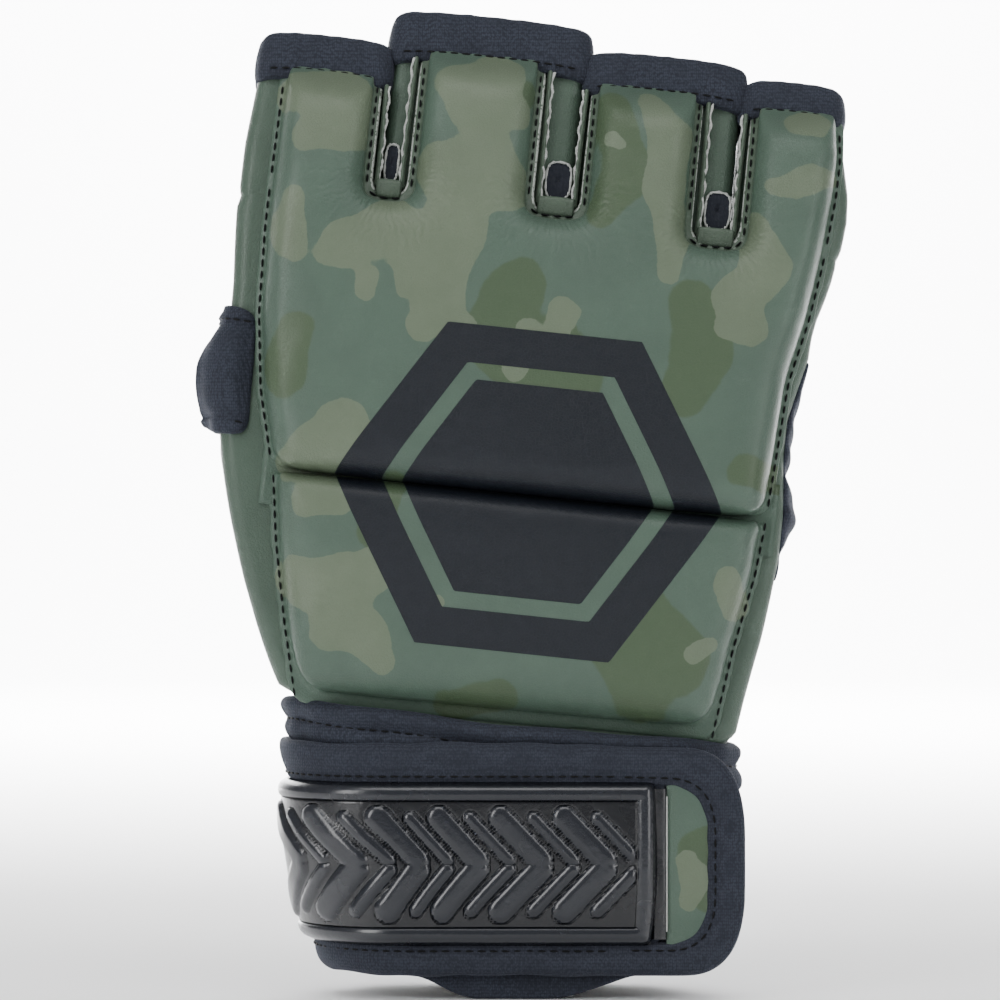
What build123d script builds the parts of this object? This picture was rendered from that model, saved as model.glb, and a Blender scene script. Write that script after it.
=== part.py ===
from build123d import *
import os
from math import cos, radians, sin

# An open-finger grappling glove for the right hand, standing on its cuff with the fingers up.
# X runs across the hand towards the little finger, Y from the back of the hand towards the palm, Z up.
# Everything above the cuff lies in frames whose local x runs across the hand (a), local y along
# the fingers (w) and local z out of the back of the hand (t).

# Whole glove
lean = 6.0                  # the hand leans this far towards the little finger, degrees
hand_centre_x = -12.43      # where the hand's centre line meets the floor
hand_centre_z = 1.31
depth_shift = 1.5          # sets the whole glove's depth centre on Y = 0
knuckle_tilt = 6.0          # rest curl of the knuckle section towards the palm, degrees
finger_tilt = 8.0           # further rest curl of each finger
leather = 1.2               # thickness of the padded cover's leather
wall = 2.0                  # thickness of lined walls and panels

# Depths, measured out of the back of the hand
palm_back = -17.0
knuckle_palm_back = -13.5
lining_floor = 12.0
lining_top = 14.0
hinge_depth = 13.0          # flex lines lie inside the dorsal lining
back_pad_height = 13.2
knuckle_pad_height = 16.2
pad_rounding = 6.0

# Heights along the hand
cuff_joint = 50.5
cuff_top = 60.0
heel_top = 98.0
fold_line = 111.0
fold_gap = 0.8
bridge_bottom = 146.0
bridge_top = 162.0
thumb_height = 133.0

# Flex wedges: how far walls are cut back from a flex line, degrees
fold_wedge = 17.0
finger_wedge_below = 34.0
finger_wedge_above = 16.0

# Fingers: tube edges across the hand, pad lobe edges, flex line, end of pad, end of binding
gap = 0.4
fingers = {
    "index": {"tube": (-69.4, -39.2), "lobe": (-63.7, -40.3), "flex": 179.5, "pad_end": 200.4, "top": 210.0},
    "middle": {"tube": (-39.2, 4.9), "lobe": (-32.9, -4.1), "flex": 179.5, "pad_end": 208.0, "top": 218.4},
    "ring": {"tube": (4.9, 40.3), "lobe": (5.9, 32.0), "flex": 179.2, "pad_end": 204.4, "top": 213.4},
    "little": {"tube": (40.3, 65.4), "lobe": (42.0, 61.9), "flex": 176.2, "pad_end": 202.6, "top": 210.4},
}
tube_back = -9.0
tube_front = 13.5
tube_wall = 1.6
tube_corner = 9.0
lobe_height = 14.5

# Slots between the pad lobes: centre, width, bottom
slots = {
    "index_middle": {"centre": -36.6, "width": 7.4, "bottom": 174.7},
    "middle_ring": {"centre": 0.9, "width": 10.0, "bottom": 174.6},
    "ring_little": {"centre": 37.0, "width": 10.0, "bottom": 171.5},
}
facing_width = 2.0
facing_back = 20.0
facing_front = 26.0
tab_height = 3.9

# Cuff and strap
cuff_width = 99.0
cuff_depth = 38.0
cuff_centre_x = -1.5
strap_bottom = 5.6
strap_top = 56.2
strap_clear = 1.6           # room between the cuff and the strap, for the hook-and-loop fastener
patch_thick = 0.6
strap_thick = 1.8
binding_thick = 3.2
strap_border = 8.6          # visible width of the strap's knit binding
badge_thick = 2.0
badge_end = 28.0
end_strip_end = 31.2
tip_line = 31.6             # the free end peels about this line
strap_end = 48.2

# ---------------------------------------------------------------- frames


def turned_towards_palm(frame, height, depth, angle):
    """The frame turned about the line across the hand at that height and depth, keeping its coordinates there."""
    point = frame.from_local_coords(Vector(0, height, depth))
    normal = frame.z_dir.rotate(Axis((0, 0, 0), frame.x_dir), -angle)
    turned = Plane(origin=point, x_dir=frame.x_dir, z_dir=normal)
    turned.origin = point - turned.y_dir * height - turned.z_dir * depth
    return turned


back = Plane(
    origin=(hand_centre_x, depth_shift, hand_centre_z),
    x_dir=(cos(radians(lean)), 0, -sin(radians(lean))),
    z_dir=(0, -1, 0),
)
knuckle = turned_towards_palm(back, fold_line, hinge_depth, knuckle_tilt)
finger_frames = {
    name: turned_towards_palm(knuckle, f["flex"], hinge_depth, finger_tilt) for name, f in fingers.items()
}


def flex_cut(frame, height, angle):
    """A plane through the flex line at that height, facing the fingertips; it drops towards the wrist on the palm
    side by angle, or rises if that is negative."""
    point = frame.from_local_coords(Vector(0, height, hinge_depth))
    normal = frame.y_dir.rotate(Axis((0, 0, 0), frame.x_dir), -angle)
    return Plane(origin=point, x_dir=frame.x_dir, z_dir=normal)


def level(frame, height):
    """A plane across the hand at that height, facing the fingertips."""
    return Plane(origin=frame.from_local_coords(Vector(0, height, 0)), x_dir=frame.x_dir, z_dir=frame.y_dir)


def front_edges(part, frame):
    """Edges of the face that looks out of the back of the hand."""
    outward = Axis(frame.origin, frame.z_dir)
    return part.faces().sort_by(outward)[-1].edges()


def upper_front_edges(part, frame):
    """Those edges without the lowest one, which lies on a flex line."""
    along = Axis(frame.origin, frame.y_dir)
    return front_edges(part, frame).sort_by(along)[1:]


pieces = {}


def keep(name, made):
    made.part.label = name
    pieces[name] = made.part


# ---------------------------------------------------------------- outlines across the hand

thumb_edge_low = [(-45.6, 61.0), (-54.4, 72.0), (-62.6, 89.0), (-68.0, 109.6)]
thumb_edge_high = [(-68.0, 112.4), (-68.8, 130.0), (-68.6, 152.0), (-68.4, 176.0)]
little_edge_low = [(54.4, 61.0), (57.4, 80.0), (61.0, 98.0)]
little_edge_high = [(60.6, 146.0), (63.6, 160.0), (64.4, 174.0)]
gusset_edge = [(60.8, 101.6), (60.4, 110.0), (59.6, 128.0), (60.4, 145.6)]
back_pad_outline = [(-44.9, 62.6), (-56.2, 109.4), (56.2, 109.4), (48.2, 62.6)]
pad_corner = 7.0


def edge_wall(frame, points, depth_from, depth_to, thickness=wall):
    """A wall of even thickness along a line of points, standing across the depth of the hand."""
    with BuildPart() as made:
        with BuildSketch(frame.offset(depth_from)):
            with BuildLine():
                Spline(*points)
            trace(line_width=thickness)
        extrude(amount=depth_to - depth_from)
    return made


# ---------------------------------------------------------------- wrist cuff

with BuildPart() as wrist_cuff:
    with BuildSketch(Plane.XY):
        with Locations((cuff_centre_x, depth_shift)):
            SlotOverall(cuff_width, cuff_depth)
            SlotOverall(cuff_width - 2 * wall, cuff_depth - 2 * wall, mode=Mode.SUBTRACT)
    extrude(amount=90)
    split(bisect_by=level(back, cuff_joint), keep=Keep.BOTTOM)
keep("wrist_cuff", wrist_cuff)

cuff_binding_swell = 0.5
with BuildPart() as cuff_top_binding:
    with BuildSketch(Plane.XY):
        with Locations((cuff_centre_x, depth_shift)):
            SlotOverall(cuff_width + 2 * cuff_binding_swell, cuff_depth + 2 * cuff_binding_swell)
            SlotOverall(cuff_width - 3 * wall, cuff_depth - 3 * wall, mode=Mode.SUBTRACT)
    extrude(amount=90)
    split(bisect_by=level(back, cuff_top), keep=Keep.BOTTOM)
    split(bisect_by=level(back, cuff_joint + 6.4), keep=Keep.TOP)
keep("cuff_top_binding", cuff_top_binding)

# The cuff's upper hem, between the tube and the binding, is a plain band of the same oval.
with BuildPart() as cuff_upper_band:
    with BuildSketch(Plane.XY):
        with Locations((cuff_centre_x, depth_shift)):
            SlotOverall(cuff_width, cuff_depth)
            SlotOverall(cuff_width - 2 * wall, cuff_depth - 2 * wall, mode=Mode.SUBTRACT)
    extrude(amount=90)
    split(bisect_by=level(back, cuff_joint + 6.4), keep=Keep.BOTTOM)
    split(bisect_by=level(back, cuff_joint), keep=Keep.TOP)
keep("cuff_upper_band", cuff_upper_band)

# ---------------------------------------------------------------- back of the hand

with BuildPart() as back_lining:
    with BuildSketch(back.offset(lining_floor)):
        with BuildLine():
            Polyline(
                (-43.4, 61), (-52.6, 72.6), (-60.6, 89), (-66.4, fold_line - fold_gap),
                (59.2, fold_line - fold_gap), (59.4, 98), (55.6, 80), (52.8, 61), close=True,
            )
        make_face()
    extrude(amount=lining_top - lining_floor)
keep("back_lining", back_lining)

with BuildPart() as back_pad_foam:
    with BuildSketch(back.offset(lining_top)):
        with BuildLine():
            FilletPolyline(*back_pad_outline, radius=pad_corner, close=True)
        make_face()
        offset(amount=-leather)
    extrude(amount=back_pad_height - leather)
    fillet(front_edges(back_pad_foam.part, back), pad_rounding - leather)
keep("back_pad_foam", back_pad_foam)

with BuildPart() as back_pad_cover:
    with BuildSketch(back.offset(lining_top)):
        with BuildLine():
            FilletPolyline(*back_pad_outline, radius=pad_corner, close=True)
        make_face()
    extrude(amount=back_pad_height)
    fillet(front_edges(back_pad_cover.part, back), pad_rounding)
    add(back_pad_foam.part, mode=Mode.SUBTRACT)
keep("back_pad_cover", back_pad_cover)

thumb_wall_low = edge_wall(back, thumb_edge_low, palm_back, lining_top)
with BuildPart() as thumb_side_panel:
    add(thumb_wall_low.part)
    split(bisect_by=flex_cut(back, fold_line - fold_gap, fold_wedge), keep=Keep.BOTTOM)
keep("thumb_side_panel", thumb_side_panel)

keep("little_side_panel", edge_wall(back, little_edge_low, palm_back, lining_top))

with BuildPart() as palm_heel_panel:
    with BuildSketch(back.offset(palm_back)):
        with BuildLine():
            Polyline(
                (-43.4, 61), (-52.6, 72.6), (-60.6, 89), (-63.2, heel_top), (59.4, heel_top), (55.6, 80), (52.8, 61),
                close=True,
            )
        make_face()
    extrude(amount=wall)
keep("palm_heel_panel", palm_heel_panel)

with BuildPart() as palm_heel_binding:
    with BuildSketch(back.offset(palm_back - 0.8)):
        with Locations((-1.9, heel_top + 2.0)):
            Rectangle(121, 4.0)
    extrude(amount=wall + 1.6)
keep("palm_heel_binding", palm_heel_binding)

# ---------------------------------------------------------------- knuckle section


def knuckle_pad(inset):
    """The knuckle pad as a block, drawn in by inset all round; the slots between the fingers are cut into its top."""
    low = fold_line + 1.0 + inset
    steps = [slot["centre"] for slot in slots.values()]
    with BuildPart() as pad:
        with BuildSketch(knuckle.offset(lining_top)):
            with BuildLine():
                FilletPolyline(
                    (-63.8 + inset, 150.0), (-56.6 + inset, low), (54.8 - inset, low), (62.4 - inset, 160.0),
                    radius=pad_corner - inset,
                )
                Polyline(
                    (62.4 - inset, 160.0),
                    (63.4 - inset, fingers["little"]["flex"] - inset), (steps[2], fingers["little"]["flex"] - inset),
                    (steps[2], fingers["ring"]["flex"] - inset), (steps[1], fingers["ring"]["flex"] - inset),
                    (steps[1], fingers["middle"]["flex"] - inset),
                    (-64.4 + inset, fingers["index"]["flex"] - inset), (-63.8 + inset, 150.0),
                )
            make_face()
            for slot in slots.values():
                with Locations((slot["centre"], slot["bottom"] - inset + 10)):
                    Rectangle(slot["width"] + 2 * inset, 20, mode=Mode.SUBTRACT)
        extrude(amount=knuckle_pad_height - inset)
        low_edges = [
            edge for edge in front_edges(pad.part, knuckle)
            if knuckle.to_local_coords(edge @ 0.5).Y < 169 and edge.length > 5
        ]
        chamfer(low_edges, pad_rounding - inset - 1.5)
    return pad


knuckle_pad_foam = knuckle_pad(leather)
keep("knuckle_pad_foam", knuckle_pad_foam)

with BuildPart() as knuckle_pad_cover:
    add(knuckle_pad(0).part)
    add(knuckle_pad_foam.part, mode=Mode.SUBTRACT)
keep("knuckle_pad_cover", knuckle_pad_cover)

with BuildPart() as knuckle_lining:
    with BuildSketch(knuckle.offset(lining_floor)):
        with BuildLine():
            Polyline(
                (-66.6, fold_line + fold_gap), (-67.4, 130), (-67.2, 176), (-40, 178.6), (7, 178.2), (40, 175.2),
                (62.8, 174), (62.2, 160), (59.2, 146), (59.0, fold_line + fold_gap), close=True,
            )
        make_face()
    extrude(amount=lining_top - lining_floor)
keep("knuckle_lining", knuckle_lining)

thumb_wall_high = edge_wall(knuckle, thumb_edge_high, knuckle_palm_back, lining_top)
thumb_hole_frame = Plane(
    origin=knuckle.from_local_coords(Vector(-68.9, thumb_height, -1.5)), x_dir=knuckle.y_dir, z_dir=-knuckle.x_dir
)
thumb_hole_length = 24.0
thumb_hole_depth = 20.0
with BuildPart() as thumb_side_upper_panel:
    add(thumb_wall_high.part)
    with BuildSketch(thumb_hole_frame.offset(-6)):
        Ellipse(thumb_hole_length / 2, thumb_hole_depth / 2)
    extrude(amount=12, mode=Mode.SUBTRACT)
    split(bisect_by=flex_cut(knuckle, fold_line + fold_gap, -fold_wedge), keep=Keep.TOP)
    split(bisect_by=flex_cut(knuckle, fingers["index"]["flex"] - 1.0, finger_wedge_below), keep=Keep.BOTTOM)
keep("thumb_side_upper_panel", thumb_side_upper_panel)

# A short knit sleeve around the thumb hole, standing out of the side wall.
sleeve_wall = 2.2
with BuildPart() as thumb_sleeve:
    with BuildSketch(thumb_hole_frame.offset(1.4)):
        Ellipse(thumb_hole_length / 2 + sleeve_wall, thumb_hole_depth / 2 + sleeve_wall)
        Ellipse(thumb_hole_length / 2, thumb_hole_depth / 2, mode=Mode.SUBTRACT)
    extrude(amount=4.6)
keep("thumb_sleeve", thumb_sleeve)

little_wall_high = edge_wall(knuckle, little_edge_high, knuckle_palm_back, lining_top)
with BuildPart() as little_side_upper_panel:
    add(little_wall_high.part)
    split(bisect_by=flex_cut(knuckle, fingers["little"]["flex"] - 1.0, finger_wedge_below), keep=Keep.BOTTOM)
keep("little_side_upper_panel", little_side_upper_panel)

# The stretch gusset on the little finger's side crosses the fold and deforms with it.
keep("little_side_gusset", edge_wall(knuckle, gusset_edge, knuckle_palm_back + 1, lining_floor - 0.6, 2.4))

with BuildPart() as palm_bridge_panel:
    with BuildSketch(knuckle.offset(knuckle_palm_back)):
        with BuildLine():
            Polyline(
                (-67.6, bridge_bottom), (-67.4, bridge_top), (36.0, bridge_top), (62.0, bridge_top - 5.0),
                (59.4, bridge_bottom), close=True,
            )
        make_face()
    extrude(amount=wall)
keep("palm_bridge_panel", palm_bridge_panel)

with BuildPart() as palm_bridge_binding:
    with BuildSketch(knuckle.offset(knuckle_palm_back - 0.8)):
        with Locations((-4.2, bridge_bottom - 2.0)):
            Rectangle(126, 4.0)
    extrude(amount=wall + 1.6)
keep("palm_bridge_binding", palm_bridge_binding)

for name, slot in slots.items():
    with BuildPart() as slot_tab:
        with BuildSketch(knuckle.offset(facing_back)):
            with Locations((slot["centre"], slot["bottom"] + tab_height / 2)):
                RectangleRounded(slot["width"], tab_height, 1.0)
        extrude(amount=facing_front - facing_back)
    keep(name + "_slot_tab", slot_tab)

# ---------------------------------------------------------------- fingers

slot_sides = {"index": ["right"], "middle": ["left", "right"], "ring": ["left", "right"], "little": ["left"]}

for name, f in fingers.items():
    frame = finger_frames[name]
    base = f["flex"] + gap
    left, right = f["tube"][0] + gap / 2, f["tube"][1] - gap / 2
    centre, width = (left + right) / 2, right - left
    tube_mid = (tube_back + tube_front) / 2
    tube_deep = tube_front - tube_back
    lobe_left, lobe_right = f["lobe"]
    lobe_length = f["pad_end"] - base

    # Finger tube: sides and palm side of the finger, a rounded leather tube cut back below the flex line.
    with BuildPart() as finger_tube:
        with BuildSketch(level(frame, base)):
            with Locations((centre, -tube_mid)):
                RectangleRounded(width, tube_deep, tube_corner)
                RectangleRounded(
                    width - 2 * tube_wall, tube_deep - 2 * tube_wall, tube_corner - tube_wall, mode=Mode.SUBTRACT
                )
        extrude(amount=lobe_length)
        split(bisect_by=flex_cut(frame, base, -finger_wedge_above), keep=Keep.TOP)
    keep(name + "_finger_tube", finger_tube)

    # Knit binding round the finger opening.
    with BuildPart() as finger_binding:
        with BuildSketch(level(frame, f["pad_end"])):
            with Locations((centre, -tube_mid - 0.6)):
                RectangleRounded(width, tube_deep + 4.4, tube_corner)
            with Locations((centre, -tube_mid)):
                RectangleRounded(width - 5.0, tube_deep - 5.0, tube_corner - 2.5, mode=Mode.SUBTRACT)
        extrude(amount=f["top"] - f["pad_end"])
    keep(name + "_finger_binding", finger_binding)

    # Foam lobe and its leather cover.
    with BuildPart() as finger_foam:
        with BuildSketch(frame.offset(tube_front)):
            with Locations(((lobe_left + lobe_right) / 2, base + (lobe_length - leather) / 2)):
                Rectangle(lobe_right - lobe_left - 2 * leather, lobe_length - leather)
        extrude(amount=lobe_height - leather)
        fillet(upper_front_edges(finger_foam.part, frame), pad_rounding - leather)
    keep(name + "_finger_foam", finger_foam)

    with BuildPart() as finger_cover:
        with BuildSketch(frame.offset(tube_front)):
            with Locations(((lobe_left + lobe_right) / 2, base + lobe_length / 2)):
                Rectangle(lobe_right - lobe_left, lobe_length)
        extrude(amount=lobe_height)
        fillet(upper_front_edges(finger_cover.part, frame), pad_rounding)
        add(finger_foam.part, mode=Mode.SUBTRACT)
    keep(name + "_finger_cover", finger_cover)

    # Leather facings that line the sides of the slots next to this finger.
    with BuildPart() as slot_facing:
        with BuildSketch(frame.offset(facing_back - 4.0)):
            for side in slot_sides[name]:
                if side == "left":
                    near, far = max(lobe_left - facing_width, left + 0.1), lobe_left
                else:
                    near, far = lobe_right, min(lobe_right + facing_width, right - 0.1)
                with Locations(((near + far) / 2, base + (lobe_length - 3.0) / 2)):
                    Rectangle(far - near, lobe_length - 3.0)
        extrude(amount=facing_front - facing_back)
    keep(name + "_slot_facing", slot_facing)

# ---------------------------------------------------------------- strap

outer_radius = cuff_depth / 2
bend_centre_x = cuff_centre_x - cuff_width / 2 + outer_radius     # centre of the cuff's thumb-side bend
inside = outer_radius + strap_clear                              # strap's inner face from that centre
split_y = depth_shift + 3.0                                      # the strap swings about this line
strap_height = strap_top - strap_bottom


def strap_band(thickness, start_x, end_x, low, high, inner=inside, rear=False):
    """A band round the thumb-side bend: on the back of the hand, or on the palm side if rear."""
    sign = 1 if rear else -1
    outer = inner + thickness
    with BuildPart() as band:
        with BuildSketch(Plane.XY.offset(low)):
            with Locations((bend_centre_x, depth_shift)):
                Circle(outer)
                Circle(inner, mode=Mode.SUBTRACT)
            with Locations((bend_centre_x + outer, depth_shift)):
                Rectangle(2 * outer, 4 * outer, mode=Mode.SUBTRACT)
            with Locations((bend_centre_x - outer, split_y - sign * (2 * outer - gap / 2))):
                Rectangle(4 * outer, 4 * outer, mode=Mode.SUBTRACT)
        extrude(amount=high - low)
        if end_x > start_x:
            with BuildSketch(Plane.XY.offset(low)):
                with Locations(((start_x + end_x) / 2, depth_shift + sign * (inner + outer) / 2)):
                    Rectangle(end_x - start_x, thickness)
            extrude(amount=high - low)
    return band


front_face = Plane(origin=(0, depth_shift - inside, 0), x_dir=(1, 0, 0), z_dir=(0, -1, 0))
panel_low, panel_high = strap_bottom + strap_border, strap_top - strap_border

keep("strap_panel", strap_band(strap_thick, bend_centre_x, end_strip_end, panel_low, panel_high))
with BuildPart() as strap_binding:
    add(strap_band(binding_thick, bend_centre_x, end_strip_end, strap_bottom, panel_low).part)
    add(strap_band(binding_thick, bend_centre_x, end_strip_end, panel_high, strap_top).part)
keep("strap_binding", strap_binding)
keep(
    "badge",
    strap_band(badge_thick, bend_centre_x, badge_end, panel_low + 0.2, panel_high - 0.2, inside + strap_thick),
)
with BuildPart() as badge_end_strip:
    with BuildSketch(front_face.offset(strap_thick)):
        with Locations(((badge_end + end_strip_end) / 2 + 0.1, (panel_low + panel_high) / 2)):
            Rectangle(end_strip_end - badge_end - 0.2, panel_high - panel_low - 0.4)
    extrude(amount=1.0)
keep("badge_end_strip", badge_end_strip)


def tip_plate(inset, thickness, rounding):
    """The strap's rounded free end as a flat plate, drawn in by inset on its three free sides."""
    low, high, end = strap_bottom + inset, strap_top - inset, strap_end - inset
    with BuildPart() as plate:
        with BuildSketch(front_face):
            with BuildLine():
                FilletPolyline(
                    (tip_line + gap, low), (end, low), (end, high), (tip_line + gap, high), radius=rounding
                )
                Line((tip_line + gap, high), (tip_line + gap, low))
            make_face()
        extrude(amount=thickness)
    return plate


strap_tip_panel = tip_plate(strap_border, strap_thick, 7.0)
keep("strap_tip_panel", strap_tip_panel)
with BuildPart() as strap_tip_binding:
    add(tip_plate(0, binding_thick, 15.0).part)
    add(tip_plate(strap_border, binding_thick, 7.0).part, mode=Mode.SUBTRACT)
keep("strap_tip_binding", strap_tip_binding)

# Hook-and-loop fastener: a loop field sewn to the cuff, and hook patches inside the strap and its free end.
cuff_face = Plane(origin=(0, depth_shift - outer_radius, 0), x_dir=(1, 0, 0), z_dir=(0, -1, 0))
patch_middle = (strap_bottom + strap_top) / 2
patch_height = panel_high - panel_low + 6.0
loop_start, hook_start, patch_end = -30.0, -8.0, 27.0
with BuildPart() as loop_patch:
    with BuildSketch(cuff_face):
        with Locations(((loop_start + patch_end) / 2, patch_middle)):
            Rectangle(patch_end - loop_start, patch_height - 12.0)
    extrude(amount=patch_thick)
keep("loop_patch", loop_patch)
with BuildPart() as hook_patch:
    with BuildSketch(front_face):
        with Locations(((hook_start + end_strip_end) / 2, patch_middle)):
            Rectangle(end_strip_end - hook_start, patch_height)
    extrude(amount=-patch_thick)
keep("hook_patch", hook_patch)
with BuildPart() as tip_hook_patch:
    with BuildSketch(front_face):
        with Locations(((tip_line + gap + strap_end - 5.0) / 2, patch_middle)):
            Rectangle(strap_end - 5.0 - tip_line - gap, 24.0)
    extrude(amount=-patch_thick)
keep("tip_hook_patch", tip_hook_patch)

# The strap's fixed end runs behind the wrist and is sewn to the cuff there.
strap_root_end = 30.0
root_inside = outer_radius + cuff_binding_swell
keep(
    "strap_root",
    strap_band(strap_thick, bend_centre_x, strap_root_end, panel_low, panel_high, root_inside, rear=True),
)
with BuildPart() as strap_root_binding:
    add(strap_band(binding_thick, bend_centre_x, strap_root_end, strap_bottom, panel_low, root_inside, rear=True).part)
    add(strap_band(binding_thick, bend_centre_x, strap_root_end, panel_high, strap_top, root_inside, rear=True).part)
keep("strap_root_binding", strap_root_binding)

# ---------------------------------------------------------------- write

os.makedirs("parts", exist_ok=True)
for name, part in pieces.items():
    export_step(part, f"parts/{name}.step")

low = [min(tuple(part.bounding_box().min)[i] for part in pieces.values()) for i in range(3)]
high = [max(tuple(part.bounding_box().max)[i] for part in pieces.values()) for i in range(3)]
print("nodes", len(pieces), "lowest", [round(v, 2) for v in low], "highest", [round(v, 2) for v in high])
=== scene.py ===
import math
import bpy
import numpy as np
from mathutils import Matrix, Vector


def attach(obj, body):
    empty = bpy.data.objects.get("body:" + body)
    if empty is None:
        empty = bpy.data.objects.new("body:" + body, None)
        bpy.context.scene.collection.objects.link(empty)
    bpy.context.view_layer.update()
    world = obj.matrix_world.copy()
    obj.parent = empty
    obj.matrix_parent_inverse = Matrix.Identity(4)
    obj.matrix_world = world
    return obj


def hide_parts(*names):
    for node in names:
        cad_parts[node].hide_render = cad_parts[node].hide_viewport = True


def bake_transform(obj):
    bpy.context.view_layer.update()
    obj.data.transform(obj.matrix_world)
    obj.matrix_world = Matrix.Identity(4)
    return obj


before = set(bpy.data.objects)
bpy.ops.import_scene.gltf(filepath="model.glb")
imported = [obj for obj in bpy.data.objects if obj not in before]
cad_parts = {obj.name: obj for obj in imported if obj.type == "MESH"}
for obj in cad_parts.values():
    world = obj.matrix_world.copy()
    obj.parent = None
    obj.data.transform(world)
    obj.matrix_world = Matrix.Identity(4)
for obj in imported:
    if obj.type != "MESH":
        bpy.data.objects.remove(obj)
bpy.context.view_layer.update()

mm = 0.001
print("glove: frame loaded")

# local a runs across the hand, w along the fingers and t out of the back of the hand, all in mm
hand = {
    "origin": (-12.43, 1.5, 1.31),
    "lean": 6.0,
    "foldAt": 111.0,
    "foldTilt": 6.0,
    "foldSpread": 9.0,
    "flexAt": 178.6,
    "flexTilt": 8.0,
    "flexSpread": 8.0,
    "hingeDepth": 13.0,
}
across = np.array([math.cos(math.radians(hand["lean"])), 0, -math.sin(math.radians(hand["lean"]))])
upHand = np.array([math.sin(math.radians(hand["lean"])), 0, math.cos(math.radians(hand["lean"]))])
toPalm = np.array([0.0, 1.0, 0.0])


def smooth(x, low, high):
    x = np.clip((np.asarray(x, float) - low) / (high - low), 0, 1)
    return x * x * (3 - 2 * x)


def curlAt(w):
    fold = hand["foldTilt"] * smooth(
        w, hand["foldAt"] - hand["foldSpread"], hand["foldAt"] + hand["foldSpread"],
    )
    flex = hand["flexTilt"] * smooth(
        w, hand["flexAt"] - hand["flexSpread"], hand["flexAt"] + hand["flexSpread"],
    )
    return np.radians(fold + flex)


lineStep = 0.25
lineW = np.arange(0, 260, lineStep)
lineUp = np.concatenate([[0], np.cumsum(np.cos(curlAt(lineW[:-1] + lineStep / 2)) * lineStep)])
lineIn = np.concatenate([[0], np.cumsum(np.sin(curlAt(lineW[:-1] + lineStep / 2)) * lineStep)])


def place(points):
    # local (a, w, t) in mm to the glove's own frame in metres
    p = np.asarray(points, float)
    a, w, t = p[..., 0:1], p[..., 1], p[..., 2:3]
    curl = curlAt(w)[..., None]
    up = np.interp(w, lineW, lineUp)[..., None]
    inward = np.interp(w, lineW, lineIn)[..., None]
    out = -toPalm * np.cos(curl) + upHand * np.sin(curl)
    origin = np.array(hand["origin"])
    base = origin + a * across + up * upHand + inward * toPalm - toPalm * hand["hingeDepth"]
    return (base + (t - hand["hingeDepth"]) * out) * mm


def placed(a, w, t):
    return Vector(place(np.array([a, w, t])))


# small tools that every piece uses
def deselect():
    bpy.ops.object.select_all(action="DESELECT")


def makeActive(piece):
    deselect()
    piece.select_set(True)
    bpy.context.view_layer.objects.active = piece


def coords(piece):
    co = np.empty(len(piece.data.vertices) * 3)
    piece.data.vertices.foreach_get("co", co)
    return co.reshape(-1, 3)


def setCoords(piece, co):
    piece.data.vertices.foreach_set("co", np.asarray(co, float).ravel())
    piece.data.update()


def gridPiece(name, points, closeAcross=False, closeAlong=False):
    # a grid primitive whose vertices are moved to points[row, column]; a closed one repeats its first line
    points = np.asarray(points, float)
    if closeAcross:
        points = np.concatenate([points, points[:, :1]], axis=1)
    if closeAlong:
        points = np.concatenate([points, points[:1]], axis=0)
    rows, cols = points.shape[:2]
    deselect()
    bpy.ops.mesh.primitive_grid_add(
        x_subdivisions=cols - 1, y_subdivisions=rows - 1, size=2, calc_uvs=True,
    )
    piece = bpy.context.object
    piece.name = piece.data.name = name
    flat = coords(piece)
    col = np.rint((flat[:, 0] + 1) / 2 * (cols - 1)).astype(int)
    row = np.rint((flat[:, 1] + 1) / 2 * (rows - 1)).astype(int)
    setCoords(piece, points[row, col])
    if closeAcross or closeAlong:
        bpy.ops.object.mode_set(mode="EDIT")
        bpy.ops.mesh.select_all(action="SELECT")
        bpy.ops.mesh.remove_doubles(threshold=1e-6)
        bpy.ops.object.mode_set(mode="OBJECT")
    return piece


def editAll(piece, *steps):
    makeActive(piece)
    bpy.ops.object.mode_set(mode="EDIT")
    bpy.ops.mesh.select_all(action="SELECT")
    for step in steps:
        step()
    bpy.ops.object.mode_set(mode="OBJECT")


def recalculate(piece):
    editAll(piece, lambda: bpy.ops.mesh.normals_make_consistent(inside=False))


def modifier(piece, kind, **values):
    makeActive(piece)
    made = piece.modifiers.new(kind.lower(), kind)
    for key, value in values.items():
        setattr(made, key, value)
    bpy.ops.object.modifier_apply(modifier=made.name)


def shadeSmooth(piece, angle=None):
    makeActive(piece)
    if angle is None:
        bpy.ops.object.shade_smooth()
    else:
        bpy.ops.object.shade_smooth_by_angle(angle=math.radians(angle))


def finishPiece(piece, *finishes, body=None, slot=None, angle=None):
    if finishes:
        piece.data.materials.clear()
    for finish in finishes:
        piece.data.materials.append(finish)
    shadeSmooth(piece, angle)
    if body:
        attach(piece, body)
    return piece


def joined(pieces, name):
    pieces = [p for p in pieces if p]
    deselect()
    for p in pieces:
        p.select_set(True)
    bpy.context.view_layer.objects.active = pieces[0]
    if len(pieces) > 1:
        bpy.ops.object.join()
    pieces[0].name = pieces[0].data.name = name
    return pieces[0]


def pointValue(piece, name, values):
    layer = piece.data.attributes.get(name) or piece.data.attributes.new(name, "FLOAT", "POINT")
    layer.data.foreach_set("value", np.asarray(values, np.float32))


def wander(p, scale, seed=0.0):
    # smooth made-up unevenness from a few crossed waves, between about -1 and 1
    x, y, z = (np.asarray(p, float) / scale).T
    total = np.sin(x * 1.7 + 1.3 * np.sin(y * 1.1 + seed) + seed)
    total = total + np.sin(y * 1.9 - 1.1 * np.sin(z * 1.3 + x * 0.7) + 2 * seed)
    total += 0.6 * np.sin(2.9 * x - 2.3 * y + 1.7 * z + 3 * seed) + 0.5 * np.sin(3.7 * y + 2.1 * x - seed)
    return total / 3.1


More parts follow.
